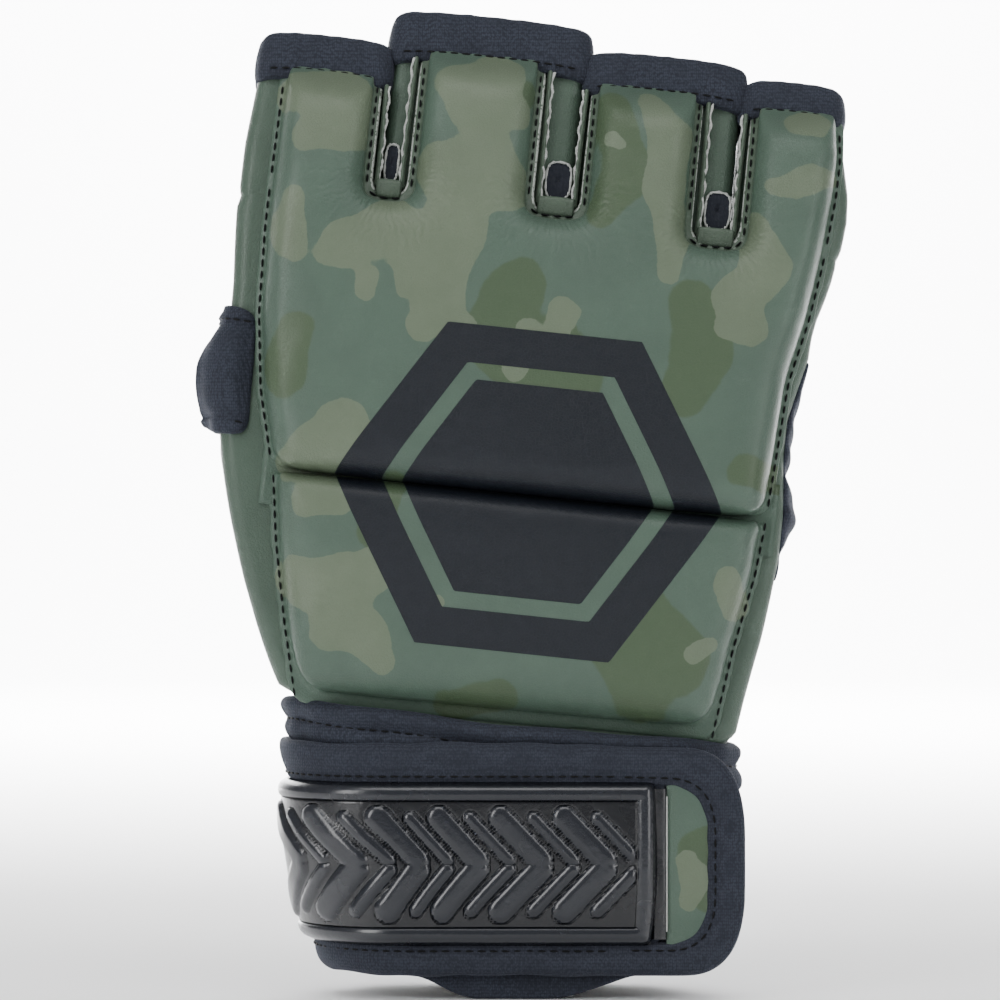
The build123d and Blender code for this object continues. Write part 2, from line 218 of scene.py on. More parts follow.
def edgeDistance(a, w, line, closed=True):
    # distance in mm from each (a, w) to a line of points, and where along it the nearest point is
    pts = np.asarray(line, float)
    ends = np.roll(pts, -1, axis=0) if closed else pts[1:]
    starts = pts if closed else pts[:-1]
    best = np.full(len(a), 1e9)
    for s, e in zip(starts, ends):
        d = e - s
        length = max(float(d @ d), 1e-12)
        k = np.clip(((a - s[0]) * d[0] + (w - s[1]) * d[1]) / length, 0, 1)
        best = np.minimum(best, np.hypot(a - s[0] - k * d[0], w - s[1] - k * d[1]))
    return best


def resample(line, step, closed=False):
    pts = np.asarray(line, float)
    if closed:
        pts = np.concatenate([pts, pts[:1]])
    lengths = np.concatenate([[0], np.cumsum(np.linalg.norm(np.diff(pts, axis=0), axis=1))])
    count = max(2, int(round(lengths[-1] / step)) + 1)
    at = np.linspace(0, lengths[-1], count)
    made = np.stack([np.interp(at, lengths, pts[:, k]) for k in range(pts.shape[1])], axis=1)
    return made[:-1] if closed else made


def roundCorners(line, radius, closed=True, steps=6):
    # rounds the corners of an outline by short curves
    pts = np.asarray(line, float)
    made = []
    n = len(pts)
    for i in range(n):
        if not closed and i in (0, n - 1):
            made.append(pts[i])
            continue
        p, before, after = pts[i], pts[i - 1], pts[(i + 1) % n]
        r = radius[i] if hasattr(radius, "__len__") else radius
        r1 = min(r, np.linalg.norm(before - p) * 0.48)
        r2 = min(r, np.linalg.norm(after - p) * 0.48)
        s = p + (before - p) / np.linalg.norm(before - p) * r1
        e = p + (after - p) / np.linalg.norm(after - p) * r2
        for k in np.linspace(0, 1, steps + 1):
            made.append((1 - k) ** 2 * s + 2 * k * (1 - k) * p + k * k * e)
    return np.array(made)


# finishes
def newFinish(name):
    finish = bpy.data.materials.new(name)
    finish.use_nodes = True
    tree = finish.node_tree
    shader = tree.nodes["Principled BSDF"]
    return finish, tree, shader


def node(tree, kind, **values):
    made = tree.nodes.new(kind)
    for key, value in values.items():
        if key.startswith("in_"):
            made.inputs[int(key[3:])].default_value = value
        else:
            setattr(made, key, value)
    return made


def toLinear(red, green, blue):
    made = [c / 255 for c in (red, green, blue)]
    return tuple(c / 12.92 if c < 0.04045 else ((c + 0.055) / 1.055) ** 2.4 for c in made) + (1.0,)


def mixColour(tree, factor, first, second):
    mixer = node(tree, "ShaderNodeMix", data_type="RGBA")
    for socket, value in ((mixer.inputs[0], factor), (mixer.inputs[6], first), (mixer.inputs[7], second)):
        if isinstance(value, bpy.types.NodeSocket):
            tree.links.new(value, socket)
        else:
            socket.default_value = value
    return mixer.outputs[2]


def maths(tree, operation, first, second=None, third=None, clamp=False):
    made = node(tree, "ShaderNodeMath", operation=operation, use_clamp=clamp)
    for socket, value in zip(made.inputs, (first, second, third)):
        if isinstance(value, bpy.types.NodeSocket):
            tree.links.new(value, socket)
        elif value is not None:
            socket.default_value = value
    return made.outputs[0]


def stepped(tree, value, low, high):
    made = node(tree, "ShaderNodeMapRange", interpolation_type="SMOOTHSTEP")
    tree.links.new(value, made.inputs[0])
    made.inputs[1].default_value, made.inputs[2].default_value = low, high
    made.inputs[3].default_value, made.inputs[4].default_value = 0.0, 1.0
    return made.outputs[0]


def objectPlace(tree):
    return node(tree, "ShaderNodeTexCoord").outputs["Object"]


def grainOn(tree, where, size, detail=2.0):
    made = node(tree, "ShaderNodeTexNoise")
    tree.links.new(where, made.inputs["Vector"])
    made.inputs["Scale"].default_value = 1 / (size * mm)
    made.inputs["Detail"].default_value = detail
    return made.outputs["Fac"]


def cellsOn(tree, where, size):
    made = node(tree, "ShaderNodeTexVoronoi", feature="DISTANCE_TO_EDGE")
    tree.links.new(where, made.inputs["Vector"])
    made.inputs["Scale"].default_value = 1 / (size * mm)
    return made.outputs["Distance"]


def attributeOn(tree, name):
    return node(tree, "ShaderNodeAttribute", attribute_name=name).outputs["Fac"]


def raise_(tree, shader, heights, distance):
    # several (height socket, strength) pairs into one bump
    total = None
    for height, strength in heights:
        part = maths(tree, "MULTIPLY", height, strength)
        total = part if total is None else maths(tree, "ADD", total, part)
    bump = node(tree, "ShaderNodeBump")
    bump.inputs["Strength"].default_value = 1.0
    bump.inputs["Distance"].default_value = distance * mm
    tree.links.new(total, bump.inputs["Height"])
    tree.links.new(bump.outputs["Normal"], shader.inputs["Normal"])


leatherLook = {
    "base": (81, 101, 88),
    "olive": (74, 91, 68),
    "light": (109, 122, 102),
    "emblem": (22, 27, 35),
    # edge: near-white for the slots' cut edges, a painted highlight of the glossy cut edge
    "edge": (205, 212, 204),
    "grain": 0.75,
    "roughness": 0.40,
}


def leatherFinish(name, camo=False, base=None, gloss=0.0):
    finish, tree, shader = newFinish(name)
    where = objectPlace(tree)
    base = toLinear(*(base or leatherLook["base"]))
    cloud = grainOn(tree, where, 14, 3)
    fine = grainOn(tree, where, 0.5, 2)
    colour = mixColour(
        tree, stepped(tree, cloud, 0.35, 0.65), base, tuple(c * 0.92 for c in base[:3]) + (1.0,),
    )
    rough = maths(tree, "MULTIPLY_ADD", cloud, 0.12, leatherLook["roughness"] - 0.06 - gloss)
    if camo:
        warp = maths(tree, "MULTIPLY_ADD", grainOn(tree, where, 3.2, 3), 1.3, -0.65)
        olive = stepped(tree, maths(tree, "ADD", attributeOn(tree, "olivePatch"), warp), -0.35, 0.45)
        light = stepped(tree, maths(tree, "ADD", attributeOn(tree, "lightPatch"), warp), -0.12, 0.14)
        colour = mixColour(tree, olive, colour, toLinear(*leatherLook["olive"]))
        paleTone = mixColour(tree, cloud, toLinear(*leatherLook["light"]), toLinear(94, 107, 87))
        colour = mixColour(tree, light, colour, paleTone)
        printed = stepped(tree, attributeOn(tree, "emblem"), -0.06, 0.06)
        colour = mixColour(tree, printed, colour, toLinear(*leatherLook["emblem"]))
        lip = stepped(tree, attributeOn(tree, "lip"), 0.4, 0.6)
        colour = mixColour(tree, lip, colour, toLinear(84, 99, 85))
        # painted highlight: a broken near-white line along the slots' cut edges, standing in for the shine of
        # the glossy edge
        edge = stepped(tree, attributeOn(tree, "slotEdgeShine"), 0.4, 0.6)
        shineBreaks = stepped(tree, grainOn(tree, where, 0.8, 3), 0.36, 0.5)
        colour = mixColour(
            tree, maths(tree, "MULTIPLY", edge, shineBreaks), colour, toLinear(*leatherLook["edge"]),
        )
        rough = maths(tree, "MULTIPLY_ADD", printed, 0.06, rough)
    tree.links.new(colour, shader.inputs["Base Color"])
    tree.links.new(rough, shader.inputs["Roughness"])
    shader.inputs["Specular IOR Level"].default_value = 0.36
    shader.inputs["Coat Weight"].default_value = 0.1
    shader.inputs["Coat Roughness"].default_value = 0.3
    cells = cellsOn(tree, where, leatherLook["grain"])
    heights = [(stepped(tree, cells, 0.0, 0.12), 0.5), (fine, 0.5), (grainOn(tree, where, 5, 3), 1.6)]
    if camo:
        spread = maths(
            tree, "MULTIPLY_ADD", grainOn(tree, where, 3.5, 2), 14.0,
            maths(tree, "MULTIPLY", attributeOn(tree, "puckerTurn"), 44.0),
        )
        folds = maths(tree, "MULTIPLY", maths(tree, "SINE", spread), attributeOn(tree, "pucker"))
        heights += [(folds, 0.62), (printed, 0.9)]
    raise_(tree, shader, heights, 0.09)
    return finish


knitLook = {"colour": (57, 62, 74), "dark": (38, 41, 50), "rib": 0.44}


def knitFinish(name, colour=None, rib=None):
    # fine jersey: small loops, from stretched Voronoi cells
    finish, tree, shader = newFinish(name)
    where = objectPlace(tree)
    rib = rib or knitLook["rib"]
    cells = node(tree, "ShaderNodeTexVoronoi", feature="F1")
    stretch = node(tree, "ShaderNodeMapping")
    stretch.inputs["Scale"].default_value = (1.0, 1.0, 0.62)
    tree.links.new(where, stretch.inputs["Vector"])
    tree.links.new(stretch.outputs[0], cells.inputs["Vector"])
    cells.inputs["Scale"].default_value = 1 / (rib * mm)
    cells.inputs["Randomness"].default_value = 0.45
    loops = cells.outputs["Distance"]
    cloud = grainOn(tree, where, 6, 3)
    top = toLinear(*(colour or knitLook["colour"]))
    low = toLinear(*knitLook["dark"])
    tone = mixColour(tree, stepped(tree, loops, 0.15, 0.75), top, low)
    tone = mixColour(tree, maths(tree, "MULTIPLY", stepped(tree, cloud, 0.4, 0.7), 0.35), tone, low)
    tree.links.new(tone, shader.inputs["Base Color"])
    shader.inputs["Roughness"].default_value = 0.85
    shader.inputs["Specular IOR Level"].default_value = 0.25
    shader.inputs["Sheen Weight"].default_value = 0.22
    shader.inputs["Sheen Roughness"].default_value = 0.5
    shader.inputs["Sheen Tint"].default_value = toLinear(150, 156, 175)
    raise_(
        tree, shader,
        [(maths(tree, "SUBTRACT", 1.0, loops), 1.0), (cloud, 1.2), (grainOn(tree, where, 0.3, 2), 0.7)],
        0.13,
    )
    return finish


def threadFinish(name, colour):
    finish, tree, shader = newFinish(name)
    where = objectPlace(tree)
    tone = mixColour(
        tree, grainOn(tree, where, 0.4, 2), toLinear(*colour), toLinear(*[c * 0.6 for c in colour]),
    )
    tree.links.new(tone, shader.inputs["Base Color"])
    shader.inputs["Roughness"].default_value = 0.55
    shader.inputs["Specular IOR Level"].default_value = 0.2
    raise_(tree, shader, [(grainOn(tree, where, 0.18, 1), 1.0)], 0.06)
    return finish


def rubberFinish(name):
    finish, tree, shader = newFinish(name)
    where = objectPlace(tree)
    cloud = grainOn(tree, where, 9, 3)
    raised = attributeOn(tree, "relief")
    tone = mixColour(tree, stepped(tree, raised, 0.25, 0.8), toLinear(20, 22, 27), toLinear(33, 36, 43))
    tree.links.new(tone, shader.inputs["Base Color"])
    rough = maths(tree, "MULTIPLY_ADD", cloud, 0.12, 0.2)
    tree.links.new(rough, shader.inputs["Roughness"])
    shader.inputs["Specular IOR Level"].default_value = 0.55
    shader.inputs["Coat Weight"].default_value = 0.35
    shader.inputs["Coat Roughness"].default_value = 0.16
    raise_(tree, shader, [(grainOn(tree, where, 1.4, 2), 0.5), (grainOn(tree, where, 7, 2), 1.6)], 0.12)
    return finish


camoLeather = leatherFinish("printedLeather", camo=True)
plainLeather = leatherFinish("plainLeather", base=(79, 97, 84))
blackKnit = knitFinish("blackKnit")
strapKnit = knitFinish("strapKnit", colour=(54, 58, 69))
liningCloth = knitFinish("liningCloth", colour=(44, 47, 55), rib=0.8)
blackThread = threadFinish("blackThread", (15, 16, 19))
# near-white finish of the thin beads on the cut edges: a painted highlight of the glossy edges
edgeShinePaint = threadFinish("edgeShinePaint", (226, 229, 225))
badgeRubber = rubberFinish("badgeRubber")
print("glove: finishes made")

# the printed camouflage, as chains of discs (x, z, radius) in mm on the glove's front, and the plain hexagon
camoPatches = {
    "light": [
        [(-50.5, 201.5, 5), (-40.5, 200, 5.5), (-39.5, 192.5, 4), (-48.5, 191, 3.5)],
        [(-51.5, 178, 3), (-52.5, 170, 4), (-50.5, 165.5, 2)],
        [(-19, 183.5, 6), (-10, 187, 6), (-4.5, 180, 4.5), (-2, 176.5, 2)],
        [(-12.5, 180, 5.5), (-17, 170, 6.5), (-23.5, 167.5, 5.5)],
        [(-23.5, 169, 4.5), (-31.5, 172, 5), (-39.5, 167, 4.5), (-43.5, 165, 2.5)],
        [(-34.5, 161, 2), (-35, 157, 2)],
        [(-27.5, 164, 2), (-27, 157.5, 1.5)],
        [(-16, 165.5, 5), (-19, 155, 5), (-22.5, 149.5, 3), (-13.5, 149.5, 2.5)],
        [(-15, 203.5, 4.5), (-5.5, 205, 5), (-12.5, 198, 4), (-2, 196, 3.5)],
        [(28, 199, 2.5), (32, 191, 4), (30.5, 180, 4.5), (33, 170, 3.5), (32, 161, 2.5)],
        [(18.5, 190, 2), (20, 189, 1.5)],
        [(55, 181, 2), (62, 181, 2.5), (68, 181.5, 2)],
        [(62, 194.5, 3.5), (65, 194, 3)],
        [(49.5, 170, 4.5), (53, 162, 5), (47, 155, 4.5), (49.5, 148.5, 3.5), (44, 148.5, 2)],
        [(9, 152, 3.5), (8, 147.5, 3)],
        [(1, 147.5, 3), (-2, 140.5, 3.5)],
        [(-40.5, 127, 6), (-46, 121.5, 5), (-36, 120.5, 5), (-53, 119, 3)],
        [(-47, 111.5, 4), (-40.5, 110, 3)],
        [(-50.5, 93.5, 5.5), (-40.5, 91, 6.5), (-31.5, 97, 4), (-27, 101, 2.5)],
        [(-41.5, 83, 6), (-35, 81, 4.5), (-31.5, 75.5, 2.5)],
        [(-22.5, 86.5, 2), (-19, 88, 1.5)],
        [(44.5, 92, 3.5), (46, 86.5, 3)],
        [(40.5, 79, 2), (37, 76.5, 2)],
        [(36, 32, 2.2), (38, 27, 2.6), (36, 22, 1.6)],
    ],
    "olive": [
        [(-2, 157.5, 7), (-5.5, 147.5, 7.5), (-1, 137, 5)],
        [(7, 145, 6), (11, 138.5, 5.5), (5, 134.5, 3)],
        [(26, 85.5, 7), (32.5, 76.5, 7.5), (26, 67.5, 6), (17, 79, 4)],
        [(19, 196, 5), (22.5, 183.5, 5), (17, 174.5, 3.5)],
        [(37, 155, 5), (39.5, 144, 6), (35, 133, 4.5)],
        [(-50.5, 148.5, 4.5), (-53, 139.5, 5.5)],
        [(-10, 198, 3.5), (0, 200, 3)],
        [(-5.5, 67.5, 4), (-17, 65, 3.5)],
        [(57.5, 115, 3.5), (47, 117, 3)],
        [(-29, 115, 3), (-33, 104, 4)],
        [(39, 34, 5), (41, 24, 4)],
    ],
}
emblemShape = {"centre": (1.4, 111.0), "outer": 43.0, "ringInside": 32.5, "inner": 28.0, "stretch": 1.07}


def patchField(p, chains):
    # how far inside the nearest patch a point lies, in mm; negative outside
    x = p[:, 0] / mm + 1.3 * wander(p, 7 * mm, 1.0)
    z = p[:, 2] / mm + 1.3 * wander(p, 6 * mm, 4.0)
    total = np.zeros(len(p))
    soft = 1.2
    for chain in chains:
        for (x1, z1, r1), (x2, z2, r2) in zip(chain[:-1], chain[1:]):
            dx, dz = x2 - x1, z2 - z1
            k = np.clip(((x - x1) * dx + (z - z1) * dz) / max(dx * dx + dz * dz, 1e-6), 0, 1)
            depth = r1 + k * (r2 - r1) - np.hypot(x - x1 - k * dx, z - z1 - k * dz)
            total += np.exp(np.clip(depth / soft, -20, 12))
    return soft * np.log(total + 1e-9)


def emblemField(a, w):
    e = emblemShape
    x, y = np.abs(a - e["centre"][0]), np.abs(w - e["centre"][1]) * e["stretch"]
    reach = np.maximum(y, x * 0.866 + y * 0.5)
    ring = np.minimum(0.866 * e["outer"] - reach, reach - 0.866 * e["ringInside"])
    return np.maximum(ring, 0.866 * e["inner"] - reach)


def paintCamo(piece, local=None):
    p = coords(piece)
    pointValue(piece, "lightPatch", np.clip(patchField(p, camoPatches["light"]), -4, 4))
    pointValue(piece, "olivePatch", np.clip(patchField(p, camoPatches["olive"]), -4, 4))
    mark = np.full(len(p), -4.0)
    if local is not None:
        mark = np.clip(emblemField(local[:, 0], local[:, 1]), -4, 4)
    pointValue(piece, "emblem", mark)


# the two padded covers
knucklePad = {
    "left": [(-57.0, 111.0), (-61.4, 128), (-63.6, 145), (-64.4, 165), (-64.2, 182), (-63.9, 203.4)],
    "right": [
        (63.2, 205.4), (64.5, 193), (64.3, 184), (62.8, 169), (60.9, 156), (57.8, 142), (56.9, 128),
        (55.8, 111.0),
    ],
    "tips": {"index": 203.4, "middle": 210.8, "ring": 207.2, "little": 205.4},
    "slots": [(-36.6, 7.4, 174.7), (0.9, 10.0, 174.6), (37.0, 10.0, 171.5)],
    "floor": 13.9,
    "plate": 1.3,
    "lip": 3.6,
    "height": 15.6,
    "lobeHeight": 13.4,
    "flange": 2.2,
}
backPad = {
    "left": [(-46.4, 59.4), (-50.6, 76), (-54.4, 94), (-56.8, 110.4)],
    "right": [(55.8, 110.4), (54.6, 98), (51.6, 82), (48.8, 60.6)],
    "floor": 13.9,
    "plate": 1.1,
    "height": 12.6,
    "flange": 2.4,
    "apron": 3.6,
}
voxel = 1.3


def padBlock(outline, low, high):
    # an outline in (a, w) as a flat-topped block between two depths
    deselect()
    bpy.ops.mesh.primitive_circle_add(vertices=len(outline), radius=1, fill_type="NGON")
    block = bpy.context.object
    setCoords(
        block,
        np.column_stack([outline[:, 0] * mm, outline[:, 1] * mm, np.full(len(outline), low * mm)]),
    )
    editAll(
        block,
        lambda: bpy.ops.mesh.extrude_region_move(
            TRANSFORM_OT_translate={"value": (0, 0, (high - low) * mm)}
        ),
    )
    recalculate(block)
    return block


def remeshed(pieces, name, size):
    piece = joined(pieces, name)
    piece.data.remesh_voxel_size = size * mm
    makeActive(piece)
    bpy.ops.object.voxel_remesh()
    return piece


def knuckleOutline(inset):
    k = knucklePad
    side = np.array(k["left"]) + [inset, 0]
    other = np.array(k["right"]) - [inset, 0]
    points = [tuple(p) for p in side]
    radii = [6] + [0.5] * (len(side) - 2) + [5]
    tips = [k["tips"][n] for n in ("index", "middle", "ring", "little")]
    for (centre, width, bottom), before, after in zip(k["slots"], tips[:-1], tips[1:]):
        half = width / 2 + inset
        points += [
            (centre - half, before), (centre - half, bottom - inset), (centre + half, bottom - inset),
            (centre + half, after),
        ]
        radii += [3.5, 3.0, 3.0, 3.5]
    points += [tuple(p) for p in other]
    radii += [5] + [0.5] * (len(other) - 2) + [6]
    return roundCorners(points, radii)


def slotDistance(a, w, slot):
    centre, width, bottom = slot
    half = width / 2
    line = roundCorners(
        [(centre - half, 215), (centre - half, bottom), (centre + half, bottom), (centre + half, 215)],
        3.0, False,
    )
    return edgeDistance(a, w, line, closed=False)


def rise(x, power=2.0):
    x = np.clip(x, 0, 1)
    return (1 - (1 - x) ** power) ** (1 / power)


def softLeast(values, power=7.0):
    return np.sum([np.maximum(v, 1e-3) ** -power for v in values], axis=0) ** (-1 / power)


def knuckleHeights(a, w):
    # pad height over its floor, and the height of the flange or slot lip round it
    k = knucklePad
    side = np.minimum(edgeDistance(a, w, k["left"], False), edgeDistance(a, w, k["right"], False))
    slot = np.min([slotDistance(a, w, s) for s in k["slots"]], axis=0)
    breaks, ends = [-36.7, -36.5, 0.8, 1.0, 36.9, 37.1], [200.8, 208.2, 208.2, 204.6, 204.6, 202.8]
    tip = np.interp(a, breaks, ends) - w
    crease = w - 111.0
    full = k["height"] + (k["lobeHeight"] - k["height"]) * smooth(w, 166, 190)
    full = full + 1.1 * (1 - (a / 60) ** 2) * (1 - smooth(w, 160, 190))
    for centre, width, bottom in k["slots"]:
        full = full - 1.7 * np.exp(-((a - centre) / 7.5) ** 2) * smooth(w, bottom - 27, bottom - 2)
    heights = [
        4.4 + (full - 4.4) * rise((side - k["flange"]) / 9.5, 2.1),
        4.8 + (full - 4.8) * rise((slot - 2.1) / 9.0, 2.0),
        6.0 + (full - 6.0) * rise(crease / 7.0, 2.2),
        2.2 + (full - 2.2) * smooth(tip, -1.0, 15.0) ** 0.55,
    ]
    plate = k["plate"] + (k["lip"] - k["plate"]) * (1 - smooth(slot, 2.4, 4.5))
    plate = np.where(tip < 5, np.minimum(plate, 1.0 + 0.5 * np.maximum(tip, 0)), plate)
    return softLeast(heights) * 1.02, plate, side, slot, tip


def shapePad(piece, heightsOf, block, settings, spread=0.30):
    p = coords(piece) / mm
    a, w, t = p.T
    height, plate = heightsOf(a, w)[:2]
    low, thin = settings["floor"], settings["plate"]
    inPlate = np.clip((t - low) / thin, 0, 1)
    above = np.clip((t - low - thin) / (block - thin), 0, 1.1)
    uneven = spread * wander(p * [1, 1, 0], 13.0, 2.0) + spread * 0.5 * wander(p * [1, 1, 0], 6.0, 5.0)
    made = low + inPlate * plate + above * np.maximum(height - plate, 0.3) + uneven * above
    setCoords(piece, np.column_stack([a, w, made]) * mm)


def puffed(piece, pinned, settings):
    # a short inflation of the closed pad, held where it is sewn, then capped and kept
    start = coords(piece)
    makeActive(piece)
    group = piece.vertex_groups.new(name="sewn")
    group.add([int(i) for i in np.nonzero(pinned)[0]], 1.0, "REPLACE")
    cloth = piece.modifiers.new("cloth", "CLOTH")
    cloth.settings.quality = 4
    cloth.settings.mass = 0.3
    cloth.settings.tension_stiffness = 12
    cloth.settings.compression_stiffness = 12
    cloth.settings.bending_stiffness = 0.8
    cloth.settings.vertex_group_mass = "sewn"
    cloth.settings.use_pressure = True
    cloth.settings.uniform_pressure_force = settings["pressure"]
    cloth.settings.effector_weights.gravity = 0
    cloth.collision_settings.use_collision = False
    scene = bpy.context.scene
    scene.frame_start, scene.frame_end = 1, settings["frames"]
    cloth.point_cache.frame_start, cloth.point_cache.frame_end = 1, settings["frames"]
    for number in range(1, settings["frames"] + 1):
        scene.frame_set(number)
    seen = piece.evaluated_get(bpy.context.evaluated_depsgraph_get())
    moved = np.empty(len(seen.data.vertices) * 3)
    seen.data.vertices.foreach_get("co", moved)
    shift = moved.reshape(-1, 3) - start
    reach = np.linalg.norm(shift, axis=1, keepdims=True)
    cap = settings["cap"] * mm
    shift *= np.where(reach > cap, cap / np.maximum(reach, 1e-9), 1)
    piece.modifiers.remove(cloth)
    scene.frame_set(1)
    piece.vertex_groups.clear()
    setCoords(piece, start + np.nan_to_num(shift))


padSurface = {}
puffing = {"pressure": 3.0, "frames": 12, "cap": 1.6}


def makeKnucklePad():
    k = knucklePad
    blockTop = 8.0
    plate = padBlock(knuckleOutline(0.0), k["floor"], k["floor"] + k["plate"])
    block = padBlock(knuckleOutline(k["flange"]), k["floor"], k["floor"] + blockTop)
    pad = remeshed([plate, block], "knucklePad", voxel)
    shapePad(pad, knuckleHeights, blockTop, k)
    modifier(pad, "SMOOTH", factor=0.5, iterations=3)
    a, w, t = (coords(pad) / mm).T
    side, slot, tip = knuckleHeights(a, w)[2:]
    pinned = (t < k["floor"] + 0.8) | (side < 2.2) | (slot < 2.4) | (tip < 1.0)
    puffed(pad, pinned, puffing)
    modifier(pad, "SUBSURF", levels=1, render_levels=1)
    local = coords(pad) / mm
    slot = knuckleHeights(local[:, 0], local[:, 1])[3]
    pointValue(
        pad, "lip",
        np.clip((2.6 - slot) / 0.8 + 0.5, 0, 1) * (local[:, 2] < k["floor"] + k["lip"] + 1.0),
    )
    # mask of the painted highlight along the slots' cut edges
    pointValue(pad, "slotEdgeShine", np.clip((0.62 - slot) / 0.6 + 0.5, 0, 1))
    turn, pull, second = np.zeros(len(local)), np.zeros(len(local)), np.zeros(len(local))
    for centre, width, bottom in k["slots"]:
        da, dw = local[:, 0] - centre, local[:, 1] - bottom - 3
        reach = np.hypot(da, dw)
        near = smooth(reach, 4.5, 9) * (1 - smooth(reach, 11, 25))
        near = near * smooth(-dw, -7, 2) * (local[:, 2] > 16)
        turn = np.where(near > pull, np.arctan2(da, -dw), turn)
        second = np.maximum(second, np.minimum(near, pull))
        pull = np.maximum(near, pull)
    pointValue(pad, "puckerTurn", turn)
    pointValue(pad, "pucker", pull * smooth((pull - second) / np.maximum(pull, 1e-6), 0.0, 0.7))
    padSurface["knuckles"] = local
    setCoords(pad, place(local))
    paintCamo(pad, local)
    return pad


def makeBackPad():
    b = backPad
    blockTop = 7.0
    inset = b["flange"]
    outline = roundCorners(b["left"] + b["right"], [5, 1, 1, 2.5, 2.5, 1, 1, 5])
    inner = [(x + inset, y) for x, y in b["left"]] + [(x - inset, y) for x, y in b["right"]]
    inner[0] = (inner[0][0] + 0.6, inner[0][1] + b["apron"])
    inner[-1] = (inner[-1][0] - 0.4, inner[-1][1] + b["apron"])
    plate = padBlock(outline, b["floor"], b["floor"] + b["plate"])
    block = padBlock(roundCorners(inner, [7, 1, 1, 2.5, 2.5, 1, 1, 7]), b["floor"], b["floor"] + blockTop)
    pad = remeshed([plate, block], "backPad", voxel)

    def heightsOf(a, w):
        side = np.minimum(edgeDistance(a, w, b["left"], False), edgeDistance(a, w, b["right"], False))
        foot = w - np.interp(a, [-46, 48], [59.4, 60.6]) - b["apron"]
        crease = 110.4 - w
        full = b["height"] + 0.9 * (1 - (a / 55) ** 2)
        heights = [
            4.0 + (full - 4.0) * rise((side - inset) / 9.0, 2.1),
            2.8 + (full - 2.8) * rise(foot / 11.0, 2.0),
            5.0 + (full - 5.0) * rise(crease / 6.5, 2.2),
        ]
        return softLeast(heights) * 1.02, np.full(len(a), b["plate"]), side, foot

    shapePad(pad, heightsOf, blockTop, b)
    modifier(pad, "SMOOTH", factor=0.5, iterations=3)
    a, w, t = (coords(pad) / mm).T
    side, foot = heightsOf(a, w)[2:]
    puffed(pad, (t < b["floor"] + 0.8) | (side < 2.0) | (foot < -0.6), puffing)
    modifier(pad, "SUBSURF", levels=1, render_levels=1)
    local = coords(pad) / mm
    for name in ("lip", "slotEdgeShine"):
        pointValue(pad, name, np.zeros(len(local)))
    padSurface["back"] = local
    setCoords(pad, place(local))
    paintCamo(pad, local)
    return pad


lobeCuts = {"index": 175.4, "middle": 175.4, "ring": 175.4, "little": 172.6}
slotCentres = [s[0] for s in knucklePad["slots"]]
fingerNames = ["index", "middle", "ring", "little"]


def fingerOf(a):
    return np.searchsorted(slotCentres, a)


def splitLobes(pad):
    # cuts the one padded cover into the knuckle part and a lobe for each finger, just below its flex line
    for height in sorted(set(lobeCuts.values())):
        point, ahead = placed(0, height, 13), placed(0, height + 1, 13) - placed(0, height, 13)
        editAll(
            pad,
            lambda: bpy.ops.mesh.bisect(plane_co=point, plane_no=ahead.normalized(), threshold=1e-6),
        )
    lobes = {}
    for number, name in enumerate(fingerNames):
        mesh = pad.data
        centres = np.empty(len(mesh.polygons) * 3)
        mesh.polygons.foreach_get("center", centres)
        centres = centres.reshape(-1, 3) - np.array(placed(0, lobeCuts[name], 13))
        ahead = np.array((placed(0, lobeCuts[name] + 1, 13) - placed(0, lobeCuts[name], 13)).normalized())
        sideways = centres @ across / mm
        chosen = (centres @ ahead > 0) & (fingerOf(sideways) == number)
        mesh.polygons.foreach_set("select", chosen)
        makeActive(pad)
        bpy.ops.object.mode_set(mode="EDIT")
        bpy.ops.mesh.select_mode(type="FACE")
        bpy.ops.object.mode_set(mode="OBJECT")
        mesh.polygons.foreach_set("select", chosen)
        bpy.ops.object.mode_set(mode="EDIT")
        bpy.ops.mesh.separate(type="SELECTED")
        bpy.ops.object.mode_set(mode="OBJECT")
        lobe = next(o for o in bpy.context.selected_objects if o is not pad)
        lobe.name = lobe.data.name = name + "FingerPad"
        lobes[name] = lobe
    for piece in [pad] + list(lobes.values()):
        makeActive(piece)
        bpy.ops.object.mode_set(mode="EDIT")
        bpy.ops.mesh.select_mode(type="EDGE")
        bpy.ops.mesh.select_all(action="DESELECT")
        bpy.ops.mesh.select_non_manifold(extend=False)
        bpy.ops.mesh.mark_sharp()
        bpy.ops.mesh.fill_holes(sides=0)
        bpy.ops.object.mode_set(mode="OBJECT")
    return lobes


fullPad = makeKnucklePad()
lobes = splitLobes(fullPad)
finishPiece(fullPad, camoLeather, body="knuckles", slot="camo_leather")
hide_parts("knuckle_pad_cover", "knuckle_pad_foam")
for name, lobe in lobes.items():
    finishPiece(lobe, camoLeather, slot="camo_leather")
    middle = float(np.mean(coords(lobe) @ across) / mm)
    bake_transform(lobe)
    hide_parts(name + "_finger_cover", name + "_finger_foam")
lowerPad = makeBackPad()
finishPiece(lowerPad, camoLeather, body="back_of_hand", slot="camo_leather")
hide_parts("back_pad_cover", "back_pad_foam")
print("glove: pads made")

